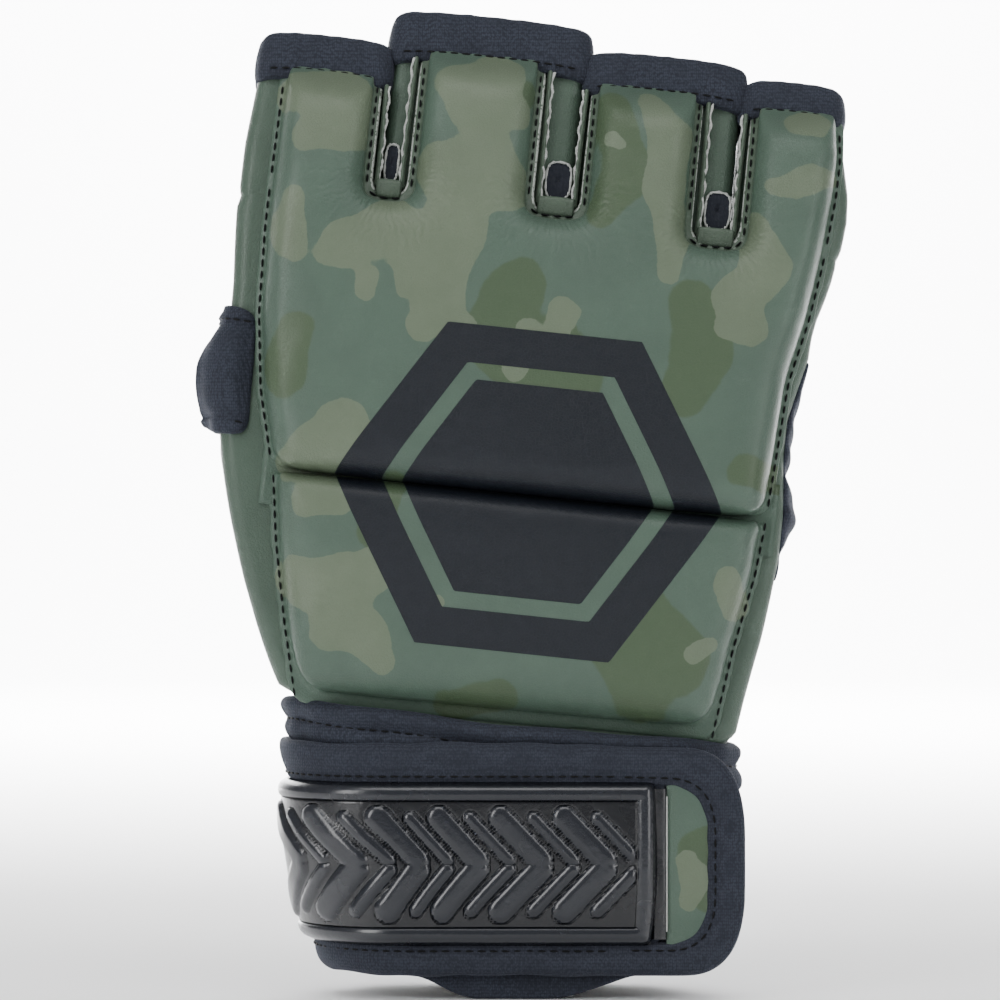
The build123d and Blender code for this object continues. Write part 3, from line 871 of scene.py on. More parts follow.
# the glove's body: side walls, palm and finger tubes
body = {
    "left": [
        (55, -42.5), (59, -45.4), (61.5, -48.2), (63.6, -49.8), (67.8, -52.0), (72, -54.0), (76.4, -56.0),
        (81, -57.9), (85, -59.5), (89.5, -61.0), (98.3, -63.6), (107, -66.0), (112, -67.3), (118, -68.5),
        (140, -69.0), (152, -69.1), (161, -69.6), (169, -70.1), (178, -68.2),
    ],
    "right": [
        (55, 48.5), (59, 51.0), (62, 53.0), (70, 54.2), (75, 55.1), (84, 56.6), (93, 57.6), (102, 58.5),
        (112, 58.4), (126, 57.4), (134, 57.6), (141, 59.2), (148, 61.0), (153, 61.2), (157, 61.8),
        (161.5, 63.1), (166, 64.3), (170, 65.0), (178, 64.0),
    ],
    "back": [
        (56, -16.2), (70, -17.2), (100, -17.2), (140, -14.4), (152, -13.4), (161, -12.0), (170, -9.9),
        (178, -8.6),
    ],
    "front": 14.2,
    "cornerFront": 3.6,
    "cornerBack": [(56, 14.0), (90, 11.5), (178, 9.0)],
    "low": 55.4,
    "high": 177.0,
    "palmHigh": 170.0,
    "thick": 1.2,
}
sectionCounts = {"front": 34, "corner": 7, "side": 16, "back": 66}
palmOpening = {"centre": (-2.0, 122.0), "halfWidth": 50.0, "halfHeight": 20.5, "corner": 13.0}
thumbHole = {"w": 131.6, "t": -1.0, "halfLength": 12.0, "halfDepth": 10.0}
gusset = {"low": 97.5, "high": 147.5, "front": 10.6, "back": -14.5}


def across_(table, w):
    return np.interp(w, [r[0] for r in table], [r[1] for r in table])


def roundedSection(left, right, back, front, rBack, rFront, counts=sectionCounts):
    # points round a rounded box, from the thumb side over the back of the hand, down, and across the palm
    quarter = np.linspace(0, math.pi / 2, counts["corner"] + 1)[:-1]
    sine, cosine = np.sin(quarter), np.cos(quarter)
    parts = []

    def add(x, y):
        parts.append(np.column_stack(np.broadcast_arrays(x, y)))

    k = np.linspace(0, 1, counts["front"] + 1)[:-1]
    add(left + rFront + k * (right - left - 2 * rFront), float(front))
    add(right - rFront + rFront * sine, front - rFront + rFront * cosine)
    k = np.linspace(0, 1, counts["side"] + 1)[:-1]
    add(float(right), front - rFront - k * (front - back - rFront - rBack))
    add(right - rBack + rBack * cosine, back + rBack - rBack * sine)
    k = np.linspace(0, 1, counts["back"] + 1)[:-1]
    add(right - rBack - k * (right - left - 2 * rBack), float(back))
    add(left + rBack - rBack * sine, back + rBack - rBack * cosine)
    k = np.linspace(0, 1, counts["side"] + 1)[:-1]
    add(float(left), back + rBack + k * (front - back - rFront - rBack))
    add(left + rFront - rFront * cosine, front - rFront + rFront * sine)
    return np.concatenate(parts)


def bodySection(w, inset=0.0):
    left, right, back, corner = [
        float(across_(body[side], w)) for side in ("left", "right", "back", "cornerBack")
    ]
    return roundedSection(
        left + inset, right - inset, back + inset,
        body["front"] - inset, corner - inset, body["cornerFront"] - inset * 0.8,
    )


def bodyRows(low, high, inset=0.0, step=1.3, palmHigh=None):
    rows = []
    count = int((high - low) / step) + 1
    for v in np.linspace(0, 1, count):
        w = low + v * (high - low)
        section = bodySection(w, inset)
        if palmHigh is not None:
            toPalmSide = smooth(-section[:, 1], -6, 6)
            w = low + v * (high - (high - palmHigh) * toPalmSide - low)
            if v > 0.6:
                section = np.array([bodySection(float(x), inset)[i] for i, x in enumerate(w)])
        rows.append(np.column_stack([section[:, 0], np.broadcast_to(w, len(section)), section[:, 1]]))
    return np.array(rows)


def dropFaces(piece, mask):
    piece.data.polygons.foreach_set("select", mask)
    makeActive(piece)
    bpy.ops.object.mode_set(mode="EDIT")
    bpy.ops.mesh.select_mode(type="FACE")
    bpy.ops.object.mode_set(mode="OBJECT")
    piece.data.polygons.foreach_set("select", mask)
    bpy.ops.object.mode_set(mode="EDIT")
    bpy.ops.mesh.delete(type="FACE")
    bpy.ops.object.mode_set(mode="OBJECT")


def faceCentres(piece):
    centres = np.empty(len(piece.data.polygons) * 3)
    piece.data.polygons.foreach_get("center", centres)
    return centres.reshape(-1, 3) / mm


def inRoundedBox(a, w, shape, grow=0.0):
    qa = np.abs(a - shape["centre"][0]) - (shape["halfWidth"] + grow - shape["corner"])
    qw = np.abs(w - shape["centre"][1]) - (shape["halfHeight"] + grow - shape["corner"])
    away = np.hypot(np.maximum(qa, 0), np.maximum(qw, 0)) + np.minimum(np.maximum(qa, qw), 0)
    return away < shape["corner"]


def inThumbHole(a, w, t):
    alongHole = (w - thumbHole["w"]) / thumbHole["halfLength"]
    deep = (t - thumbHole["t"]) / thumbHole["halfDepth"]
    return (a < -58) & (alongHole ** 2 + deep ** 2 < 1)


def softLumps(local, amount, scale, seed):
    return amount * wander(local, scale, seed)


def tuckedIn(points, reach):
    # below the cuff's turned top the side corners draw in, so that they stay inside the cuff's oval
    p = np.array(points) / mm
    lean = math.radians(hand["lean"])
    top = hand["origin"][2] + (60.6 - (p[:, 0] - hand["origin"][0]) * math.sin(lean)) / math.cos(lean)
    middle = np.column_stack([np.clip(p[:, 0], -31, 28), np.full(len(p), 1.5)])
    away = np.hypot(*(p[:, :2] - middle).T)
    inside = np.minimum(1, reach / np.maximum(away, 1e-6))
    share = 1 + (inside - 1) * smooth(top - p[:, 2], -2.5, 1.5)
    p[:, :2] = middle + (p[:, :2] - middle) * share[:, None]
    return p * mm


def makeBody():
    rows = bodyRows(body["low"], body["high"], palmHigh=body["palmHigh"])
    shell = gridPiece("gloveBody", rows * mm, closeAcross=True)
    a, w, t = faceCentres(shell).T
    palm = (t < -4) & inRoundedBox(a, w, palmOpening)
    thumb = inThumbHole(a, w, t)
    knitSide = (a > 45) & (w > gusset["low"] + 2) & (w < gusset["high"] - 2)
    knitSide = knitSide & (t < gusset["front"] - 2) & (t > gusset["back"] + 2)
    dropFaces(shell, palm | thumb | knitSide)
    modifier(shell, "SOLIDIFY", thickness=body["thick"] * mm, offset=-1)
    local = coords(shell) / mm
    sides = smooth(np.abs(local[:, 0]), 30, 60)
    lump = softLumps(local, 0.35, 15, 3.0) * sides
    local[:, 0] += np.sign(local[:, 0]) * lump
    local[:, 2] -= softLumps(local, 0.3, 18, 7.0) * smooth(-local[:, 2], 4, 12)
    setCoords(shell, tuckedIn(place(local), 17.6))
    finishPiece(shell, plainLeather, slot="plain_leather", angle=50)
    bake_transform(shell)
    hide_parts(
        "thumb_side_panel", "little_side_panel", "palm_heel_panel", "thumb_side_upper_panel",
        "little_side_upper_panel", "palm_bridge_panel",
    )


def makeLining():
    # one soft cloth layer inside the body, open over the palm and at the thumb
    rows = bodyRows(
        body["low"] + 1, body["high"] - 4, inset=body["thick"] + 0.25, step=1.8,
        palmHigh=body["palmHigh"] - 4,
    )
    lining = gridPiece("handLining", rows * mm, closeAcross=True)
    a, w, t = faceCentres(lining).T
    palm = (t < -4) & inRoundedBox(a, w, palmOpening, 0.6)
    thumb = inThumbHole(a, w, t)
    dropFaces(lining, palm | thumb)
    local = coords(lining) / mm
    local[:, 2] += softLumps(local, 0.22, 12, 1.0)
    setCoords(lining, local * mm)
    modifier(lining, "SOLIDIFY", thickness=0.7 * mm, offset=-1)
    setCoords(lining, tuckedIn(place(coords(lining) / mm), 16.0))
    finishPiece(lining, liningCloth, slot="lining")
    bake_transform(lining)
    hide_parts("back_lining", "knuckle_lining")


def makeGusset():
    # the knit stretch panel on the little finger's side, gathered where it crosses the fold
    rows = bodyRows(gusset["low"], gusset["high"], inset=-0.3, step=0.9)
    t = rows[0][:, 2]
    ring = (rows[0][:, 0] > 44) & (t < gusset["front"] + 1) & (t > gusset["back"] - 3)
    picked = rows[:, ring]
    v = np.linspace(0, 1, len(picked))[:, None]
    s = np.linspace(0, 1, picked.shape[1])[None, :]
    bulge = 1.9 * np.sin(np.pi * v) ** 0.7 * np.sin(np.pi * s) ** 0.6
    knob = 1.8 * np.exp(-((v - 0.30) / 0.10) ** 2)
    knob = knob - 0.9 * np.exp(-((v - 0.50) / 0.05) ** 2) - 0.8 * np.exp(-((v - 0.12) / 0.04) ** 2)
    gather = 0.25 * np.sin(v * 46 + 3 * s) * np.sin(np.pi * v)
    picked[:, :, 0] += (bulge + knob * np.sin(np.pi * s) ** 0.5 + gather)
    piece = gridPiece("sideGusset", picked * mm)
    modifier(piece, "SOLIDIFY", thickness=1.5 * mm, offset=-1)
    modifier(piece, "SUBSURF", levels=1, render_levels=1)
    setCoords(piece, place(coords(piece) / mm))
    finishPiece(piece, blackKnit, slot="knit_binding")
    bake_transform(piece)
    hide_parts("little_side_gusset")


def orderedBand(path, outward, along, profile):
    # a band with the given profile, as (out, along) pairs in mm, carried round a closed path
    return np.array([[p + n * o + b * h for o, h in profile] for p, n, b in zip(path, outward, along)])


def foldedProfile(thick, low, high, bulge=0.35, count=5):
    # a folded strip over an edge: round at the top, with its two raw edges at the bottom
    half = thick / 2
    up = np.linspace(0, 1, count)
    outer = [(half + bulge * math.sin(math.pi * k), low + k * (high - low - half)) for k in up]
    turns = np.linspace(0.35, math.pi - 0.35, 5)
    cap = [(half * math.cos(q), high - half + half * math.sin(q)) for q in turns]
    reach = high - low - half
    inner = [(-half - bulge * 0.5 * math.sin(math.pi * k), low + k * reach) for k in up[::-1]]
    return outer + cap + inner + [(-half * 0.4, low - 0.25), (half * 0.4, low - 0.25)]


def sectionNormals(section):
    tangent = np.roll(section, -1, axis=0) - np.roll(section, 1, axis=0)
    tangent /= np.linalg.norm(tangent, axis=1, keepdims=True)
    return np.column_stack([-tangent[:, 1], tangent[:, 0]])


fingers = {
    "index": {"left": -68.2, "right": -39.5, "top": 210.2, "padEnd": 200.6},
    "middle": {"left": -38.9, "right": 4.6, "top": 218.6, "padEnd": 208.0},
    "ring": {"left": 5.2, "right": 40.0, "top": 213.6, "padEnd": 204.4},
    "little": {"left": 40.6, "right": 62.4, "top": 210.6, "padEnd": 202.6},
}
wallSides = {
    "left": [(164, -69.4), (172, -70.1), (184, -69.9), (193, -69.2), (205, -68.4), (212, -68.2)],
    "right": [(164, 64.0), (172, 65.6), (180, 66.3), (186, 66.0), (193, 64.6), (199, 63.2), (210, 62.4)],
}
tube = {"back": -9.2, "front": 14.5, "cornerBack": 8.5, "cornerFront": 3.4, "low": 164.5, "thick": 1.1}
tubeCounts = {"front": 16, "corner": 7, "side": 9, "back": 18}
fingerBinding = {"thick": 3.4, "swell": 0.55, "ruffle": 0.2, "overlap": 1.3, "corner": 3.2}


def fingerSection(f, grow=0.0, lift=0.0, corner=None):
    return roundedSection(
        f["left"] - grow, f["right"] + grow, tube["back"] - grow, tube["front"] + grow + lift,
        tube["cornerBack"] + grow, (corner or tube["cornerFront"]) + grow, tubeCounts,
    )


def makeFingerTube(name, f):
    rows = []
    for w in np.arange(tube["low"], f["top"] - 1.5, 1.3):
        belly = 0.35 * math.sin((w - tube["low"]) / (f["top"] - tube["low"]) * math.pi)
        belly -= 1.5 * (1 - float(smooth(w, 167, 174)))
        here = dict(f)
        if name == "index":
            here["left"] = float(across_(wallSides["left"], w))
        if name == "little":
            here["right"] = float(across_(wallSides["right"], w))
        section = fingerSection(here, belly - 0.25)
        rows.append(np.column_stack([section[:, 0], np.full(len(section), w), section[:, 1]]))
    piece = gridPiece(name + "FingerTube", np.array(rows) * mm, closeAcross=True)
    for finish in (plainLeather, liningCloth):
        piece.data.materials.append(finish)
    modifier(piece, "SOLIDIFY", thickness=tube["thick"] * mm, offset=-1, material_offset=1)
    local = coords(piece) / mm
    local[:, 2] += softLumps(local, 0.18, 9, 2.0) * (local[:, 2] < 0)
    setCoords(piece, place(local))
    finishPiece(piece, slot="plain_leather", angle=50)
    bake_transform(piece)
    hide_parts(name + "_finger_tube")


def makeFingerBinding(name, f):
    section = resample(fingerSection(f, -0.7, 1.1, fingerBinding["corner"]), 1.1, closed=True)
    normals = sectionNormals(section)
    profile = foldedProfile(
        fingerBinding["thick"], f["padEnd"] - fingerBinding["overlap"], f["top"],
        fingerBinding["swell"],
    )
    path = np.column_stack([section[:, 0], np.zeros(len(section)), section[:, 1]])
    outward = np.column_stack([normals[:, 0], np.zeros(len(section)), normals[:, 1]])
    along = np.tile([0.0, 1.0, 0.0], (len(section), 1))
    rows = orderedBand(path, outward, along, profile)
    middle = (f["left"] + f["right"]) / 2
    reach = np.clip((rows[:, :, 0] - middle) / (f["right"] - f["left"]) * 2, -1, 1)
    frontSide = smooth(rows[:, :, 2], -4, 8)
    rows[:, :, 1] -= 1.1 * np.abs(reach) ** 3 * frontSide + 0.6 * (1 - frontSide)
    turn = np.linspace(0, 2 * math.pi, len(section), endpoint=False)[:, None]
    ruffle = fingerBinding["ruffle"] * (np.sin(turn * 19 + middle) + 0.6 * np.sin(turn * 31))
    rows += outward[:, None, :] * ruffle[..., None]
    piece = gridPiece(name + "FingerBinding", rows * mm, closeAcross=True, closeAlong=True)
    recalculate(piece)
    modifier(piece, "SUBSURF", levels=1, render_levels=1)
    setCoords(piece, place(coords(piece) / mm))
    finishPiece(piece, blackKnit, body=name + "_finger", slot="knit_binding")
    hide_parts(name + "_finger_binding")


makeBody()
makeLining()
makeGusset()
for name, f in fingers.items():
    makeFingerTube(name, f)
    makeFingerBinding(name, f)
print("glove: body and fingers made")


# bindings round the palm opening and the thumb hole
def roundedLine(shape, step=1.4):
    cx, cy = shape["centre"]
    x, y, r = shape["halfWidth"], shape["halfHeight"], shape["corner"]
    corners = [(cx + x, cy - y), (cx + x, cy + y), (cx - x, cy + y), (cx - x, cy - y)]
    return resample(roundCorners(corners, r * 1.4, steps=8), step, closed=True)


def makePalmBinding():
    line = roundedLine(palmOpening)
    tangent = np.roll(line, -1, axis=0) - np.roll(line, 1, axis=0)
    tangent /= np.linalg.norm(tangent, axis=1, keepdims=True)
    outwards = np.column_stack([tangent[:, 1], -tangent[:, 0]])
    depth = across_(body["back"], line[:, 1]) + body["thick"] / 2 + 0.2
    path = np.column_stack([line, depth])
    turn = np.linspace(0, 2 * math.pi, len(line), endpoint=False)
    out = np.column_stack([outwards, np.zeros(len(line))])
    flat = np.tile([0.0, 0.0, -1.0], (len(line), 1))
    profile = [
        (4.4, 1.0), (3.0, 1.7), (0.6, 1.9), (-0.8, 1.2), (-1.3, 0), (-0.8, -1.2), (0.6, -1.9),
        (3.0, -1.7), (4.4, -1.0), (4.8, 0),
    ]
    rows = orderedBand(path, out, flat, profile)
    rows += out[:, None, :] * (0.22 * np.sin(turn * 61) + 0.15 * np.sin(turn * 37))[:, None, None]
    piece = gridPiece("palmBinding", rows * mm, closeAcross=True, closeAlong=True)
    recalculate(piece)
    modifier(piece, "SUBSURF", levels=1, render_levels=1)
    setCoords(piece, place(coords(piece) / mm))
    finishPiece(piece, blackKnit, slot="knit_binding")
    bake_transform(piece)
    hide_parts("palm_heel_binding", "palm_bridge_binding")


sleeve = {
    "low": 117.6, "high": 147.0, "dorsal": -3.2, "palmar": 31.0, "reach": 5.6, "hem": 4.0,
    "centre": (131.6, 17.2), "hole": (11.4, 9.6),
}


def wallPoint(w, s, out):
    # a point on the thumb side's wall: s runs in mm from the back of the hand round the corner to the palm
    left, back = float(across_(body["left"], w)), float(across_(body["back"], w))
    rf, rb, front = body["cornerFront"], float(across_(body["cornerBack"], w)), body["front"]
    c1 = rf * math.pi / 2
    side = (front - rf) - (back + rb)
    c2 = rb * math.pi / 2
    if s < 0:
        return [left + rf - s, w, front + out]
    if s < c1:
        q = s / rf
        return [left + rf - (rf + out) * math.sin(q), w, front - rf + (rf + out) * math.cos(q)]
    if s < c1 + side:
        return [left - out, w, front - rf - (s - c1)]
    if s < c1 + side + c2:
        q = (s - c1 - side) / rb
        return [left + rb - (rb + out) * math.cos(q), w, back + rb - (rb + out) * math.sin(q)]
    return [left + rb + (s - c1 - side - c2), w, back - out]


def makeThumbSleeve():
    # knit laid over the thumb side's wall, rising to a soft rim round the thumb hole and turning in
    k = sleeve
    cw, cs = k["centre"]
    turns = np.linspace(0, 2 * math.pi, 121)[:-1]
    across1 = np.linspace(0, 1, 19)
    rows = []
    for q in turns:
        dw, ds = math.cos(q), math.sin(q)
        # the edge of the patch, a rectangle with rounded corners, in this direction
        reachW = (k["high"] - cw) if dw > 0 else (cw - k["low"])
        reachS = (k["palmar"] - cs) if ds > 0 else (cs - k["dorsal"])
        edge = (abs(dw / reachW) ** 9 + abs(ds / reachS) ** 9) ** (-1 / 9)
        rim = ((dw / k["hole"][0]) ** 2 + (ds / k["hole"][1]) ** 2) ** -0.5
        row = []
        for v in across1:
            r = edge + (rim - edge) * v
            w, s = cw + r * dw, cs + r * ds
            lift = 0.75 + k["reach"] * v ** 1.15 * (1.05 - 0.6 * min(((w - cw + 1.5) / 11) ** 2, 1.15))
            nearHem = min(k["high"] - w, w - k["low"])
            dip = 0.35 * math.exp(-((nearHem - k["hem"]) / 0.5) ** 2)
            lift += 0.75 * float(smooth(k["hem"] - nearHem, 0, 0.7)) - dip
            if v == 0:
                lift = 0.1
            lift += 0.5 * math.sin(2.0 * q + 5 * v) * v * (1 - v) * 2 + 0.25 * math.sin(5 * q + 9 * v) * v
            row.append(wallPoint(w + 0.11 * (s - 6) * (1 - v), s, lift))
        for inwards, lift in (
            (0.2, 0.7), (0.7, 0.95), (1.2, 0.6), (1.5, -0.6), (1.6, -2.6), (1.6, -4.6), (1.6, -6.5),
        ):
            r = rim - inwards
            top = k["reach"] * (1.05 - 0.6 * min(((rim * dw + 1.5) / 11) ** 2, 1.15))
            row.append(wallPoint(cw + r * dw, cs + r * ds, top + lift))
        rows.append(row)
    piece = gridPiece("thumbSleeve", np.array(rows) * mm, closeAcross=False, closeAlong=True)
    recalculate(piece)
    modifier(piece, "SOLIDIFY", thickness=1.2 * mm, offset=-1)
    modifier(piece, "SUBSURF", levels=1, render_levels=1)
    local = coords(piece) / mm
    local[:, 0] += softLumps(local, 0.25, 7, 6.0)
    setCoords(piece, place(local))
    finishPiece(piece, blackKnit, body="knuckles", slot="knit_binding")
    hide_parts("thumb_sleeve")


makePalmBinding()
makeThumbSleeve()


# the strip of leather under the crease
def makeCreaseStrip():
    w = np.linspace(103, 119, 17)
    a = np.linspace(-58, 57, 90)
    grid = []
    for y in w:
        depth = 14.5 - 0.5 * math.cos((y - 111) / 2.2) * math.exp(-((y - 111) / 3) ** 2)
        grid.append([(x, y, depth) for x in a])
    piece = gridPiece("creaseStrip", np.array(grid) * mm)
    modifier(piece, "SOLIDIFY", thickness=0.9 * mm, offset=0)
    setCoords(piece, place(coords(piece) / mm))
    for name in ("lip", "slotEdgeShine"):
        pointValue(piece, name, np.zeros(len(piece.data.vertices)))
    paintCamo(piece)
    finishPiece(piece, camoLeather, slot="camo_leather")
    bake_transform(piece)


makeCreaseStrip()
print("glove: bindings and crease made")

# slot facings, pale beads on their cut edges as a painted highlight, and the stitched tabs at the slots' ends
facing = {"thick": 1.15, "low": 13.0, "high": 17.3}


def facingStrip(edge, side, low, high, name):
    # a thin turned strip along one side of a slot; its top is the raw cut edge
    ws = np.linspace(low, high, 34)
    out = facing["thick"] * side
    top = facing["high"] + 0.25 * np.sin(ws * 1.7) + 0.2 * np.sin(ws * 3.9)
    bottom = np.full(len(ws), facing["low"])
    lean = 0.15 * np.sin((ws - low) / (high - low) * math.pi * 1.6)
    profile = [(0.0, 0.0), (-0.15, 0.55), (0.0, 0.9), (0.35, 1.02), (0.75, 1.0), (1.0, 0.85), (1.0, 0.0)]
    rows = []
    for w, t0, t1, shift in zip(ws, bottom, top, lean):
        rows.append([(edge + out * o + shift * side * h, w, t0 + (t1 - t0) * h) for o, h in profile])
    piece = gridPiece(name, np.array(rows) * mm, closeAcross=True)
    editAll(piece, lambda: bpy.ops.mesh.region_to_loop(), lambda: bpy.ops.mesh.edge_face_add())
    recalculate(piece)
    return piece


def edgeShineBead(edge, low, high, name):
    # a thin uneven pale bead on the slot's cut edge, inside the slot: a painted highlight of the glossy edge
    ws = np.linspace(low, high, 46)
    rows = []
    for w in ws:
        thick = 0.36 + 0.13 * math.sin(w * 4.1 + edge) + 0.10 * math.sin(w * 7.7)
        a = edge + 0.22 * math.sin(w * 1.3 + edge) + 0.12 * math.sin(w * 5.3)
        t = facing["high"] - 0.55 + 0.25 * math.sin(w * 2.3)
        turns = np.linspace(0, 2 * math.pi, 7)[:-1]
        rows.append([(a + thick * math.cos(q), w, t + thick * math.sin(q)) for q in turns])
    piece = gridPiece(name, np.array(rows) * mm, closeAcross=True)
    editAll(piece, lambda: bpy.ops.mesh.region_to_loop(), lambda: bpy.ops.mesh.edge_face_add())
    recalculate(piece)
    return piece


def makeFacing(number, name):
    strips, shineBeads = [], []
    end = fingers[name]["padEnd"] - 1.0
    for slotNumber, side in ((number - 1, -1), (number, 1)):
        if 0 <= slotNumber < 3:
            centre, width, bottom = knucklePad["slots"][slotNumber]
            edge = centre - side * (width / 2 - 0.35)
            strips.append(facingStrip(edge, side, bottom + 1.2, end, name + "Strip"))
            shineBeads.append(
                edgeShineBead(edge + facing["thick"] * 0.95 * side, bottom + 1.6, end - 0.4, name + "Raw")
            )
    piece = joined(strips, name + "SlotFacing")
    shineBead = joined(shineBeads, name + "SlotEdgeShine")
    # the beads take the near-white finish, a painted highlight of the cut edges
    for made, cover in ((piece, camoLeather), (shineBead, edgeShinePaint)):
        modifier(made, "SUBSURF", levels=1, render_levels=1)
        local = coords(made) / mm
        setCoords(made, place(local))
        for key in ("lightPatch", "olivePatch", "emblem", "slotEdgeShine"):
            pointValue(made, key, np.full(len(local), -4.0))
        pointValue(made, "lip", np.ones(len(local)))
        finishPiece(made, cover, slot="edge_leather")
        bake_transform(made)
    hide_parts(name + "_slot_facing")


def makeTab(slot, name, cadName):
    centre, width, bottom = slot
    deselect()
    bpy.ops.mesh.primitive_cube_add(size=1)
    tab = bpy.context.object
    tab.name = tab.data.name = name
    local = coords(tab) * [width - 1.6, 4.4, 3.4] + [centre, bottom + 0.9, 16.4]
    setCoords(tab, local * mm)
    modifier(tab, "BEVEL", width=1.0 * mm, segments=3)
    modifier(tab, "SUBSURF", levels=1, render_levels=1)
    local = coords(tab) / mm
    local[:, 2] += 0.35 * wander(local, 3, bottom) - 0.5 * np.exp(
        -((np.abs(local[:, 0] - centre) - width / 2 + 1.9) / 0.35) ** 2
    )
    setCoords(tab, place(local))
    for key in ("olivePatch", "emblem", "slotEdgeShine"):
        pointValue(tab, key, np.full(len(local), -4.0))
    pointValue(tab, "lightPatch", np.full(len(local), -1.0))
    pointValue(tab, "lip", np.ones(len(local)))
    finishPiece(tab, camoLeather, body="knuckles", slot="edge_leather")
    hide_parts(cadName)


def makeHollow(slot, name):
    # the dark opening at the slot's end, where the lining shows, ringed by a pale bead that is a painted
    # highlight of its cut edge
    centre, width, bottom = slot
    turns = np.linspace(0, 2 * math.pi, 37)[:-1]
    half, tall, w0 = width / 2 - 2.2, 4.2, bottom + 7.2
    rows = []
    for k in (0.02, 0.5, 0.85, 1.0):
        rows.append([
            (centre + k * half * (abs(math.cos(q)) ** 0.6) * math.copysign(1, math.cos(q)),
             w0 + k * tall * (abs(math.sin(q)) ** 0.6) * math.copysign(1, math.sin(q)),
             tube["front"] + 0.28 - 0.12 * (1 - k)) for q in turns])
    hollow = gridPiece(name + "Hollow", np.array(rows) * mm, closeAcross=True)
    recalculate(hollow)
    modifier(hollow, "SOLIDIFY", thickness=0.3 * mm, offset=0)
    setCoords(hollow, place(coords(hollow) / mm))
    finishPiece(hollow, liningCloth, body="knuckles", slot="lining")
    path = np.array(rows[-1])
    loops = []
    for k, (a, w, t) in enumerate(path):
        q = turns[k]
        thick = 0.3 + 0.12 * math.sin(k * 2.3 + centre)
        uneven = 0.15 * math.sin(k * 3.1)
        loop = []
        for p in np.linspace(0, 2 * math.pi, 6)[:-1]:
            x = a + math.cos(q) * thick * math.cos(p)
            y = w + math.sin(q) * thick * math.cos(p) + uneven
            loop.append((x, y, t + 0.3 + thick * math.sin(p)))
        loops.append(loop)
    # a pale bead round the opening, a painted highlight of its cut edge
    shineBead = gridPiece(name + "HollowShineBead", np.array(loops) * mm, closeAcross=True, closeAlong=True)
    recalculate(shineBead)
    setCoords(shineBead, place(coords(shineBead) / mm))
    finishPiece(shineBead, edgeShinePaint, body="knuckles", slot="edge_leather")


for number, name in enumerate(fingerNames):
    makeFacing(number, name)
for slot, first, second in zip(knucklePad["slots"], fingerNames[:-1], fingerNames[1:]):
    makeTab(slot, first + second.capitalize() + "SlotTab", first + "_" + second + "_slot_tab")
    makeHollow(slot, first + second.capitalize())
print("glove: slots faced")

# the cuff
cuff = {
    "centre": (-1.5, 1.5), "width": 99.0, "depth": 38.0, "wall": 2.0, "joint": 50.5, "top": 60.6,
    "leftDraw": [
        (0, 11.5), (5, 10.5), (9.5, 8.6), (15, 6.5), (20, 5.2), (26, 3.8), (36, 2.2), (45, 2.0),
        (50, 1.6), (55, 0.7), (57, -0.3), (60, -1.2), (70, -1.8),
    ],
    "rightDraw": [
        (0, -9), (5, -8.4), (6.8, -7.7), (9.5, -6.5), (12.2, -4.8), (14.8, -3.2), (17.6, -1.8),
        (20, -1.2), (24, 0), (44, 0), (50, -1.5), (70, -2.0),
    ],
}


def drawnIn(points):
    # the lower glove narrows towards its hem
    p = np.asarray(points, float).copy()
    x, z = p[..., 0].copy(), p[..., 2]
    left = across_(cuff["leftDraw"], z) * smooth(-x, 6, 50)
    right = across_(cuff["rightDraw"], z) * smooth(x, 18, 47)
    p[..., 0] += left + right
    return p


def ovalLine(width, depth, step=1.6):
    r = depth / 2
    half = width / 2 - r
    cx, cy = cuff["centre"]
    bend = np.linspace(-math.pi / 2, math.pi / 2, 26)
    right = np.column_stack([cx + half + r * np.cos(bend), cy + r * np.sin(bend)])
    left = np.column_stack([cx - half - r * np.cos(bend), cy - r * np.sin(bend)])
    return resample(np.concatenate([right, left]), step, closed=True)


def lineNormals(line, closed=True):
    if closed:
        tangent = np.roll(line, -1, axis=0) - np.roll(line, 1, axis=0)
    else:
        tangent = np.gradient(line, axis=0)
    tangent /= np.linalg.norm(tangent, axis=1, keepdims=True)
    return np.column_stack([tangent[:, 1], -tangent[:, 0]])


def heightOfLevel(x, w):
    lean = math.radians(hand["lean"])
    return hand["origin"][2] + (w - (x - hand["origin"][0]) * math.sin(lean)) / math.cos(lean)


def makeCuffTube():
    line = ovalLine(cuff["width"], cuff["depth"])
    normal = lineNormals(line)
    rows = []
    for v in np.linspace(0, 1, 42):
        row = []
        for (x, y), (nx, ny) in zip(line, normal):
            low = 5.2 * float(smooth(abs(x + 2.5), 8, 30)) + 1.5 * float(smooth(abs(x), 34, 46))
            high = heightOfLevel(x, cuff["joint"] + 0.5)
            z = low + v * (high - low)
            hem = 0.55 * float(smooth(7.0 - (z - low), 0, 0.8))
            hem -= 0.3 * math.exp(-(((z - low) - 7.2) / 0.5) ** 2)
            out = hem + 0.3 * math.sin(x / 9 + z / 5) * math.sin(z / 8)
            row.append((x + nx * out, y + ny * out, z))
        rows.append(row)
    piece = gridPiece("wristCuff", drawnIn(rows) * mm, closeAcross=True)
    modifier(piece, "SOLIDIFY", thickness=cuff["wall"] * mm, offset=-1)
    modifier(piece, "SUBSURF", levels=1, render_levels=1)
    finishPiece(piece, blackKnit, body="back_of_hand", slot="knit_binding")
    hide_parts("wrist_cuff")


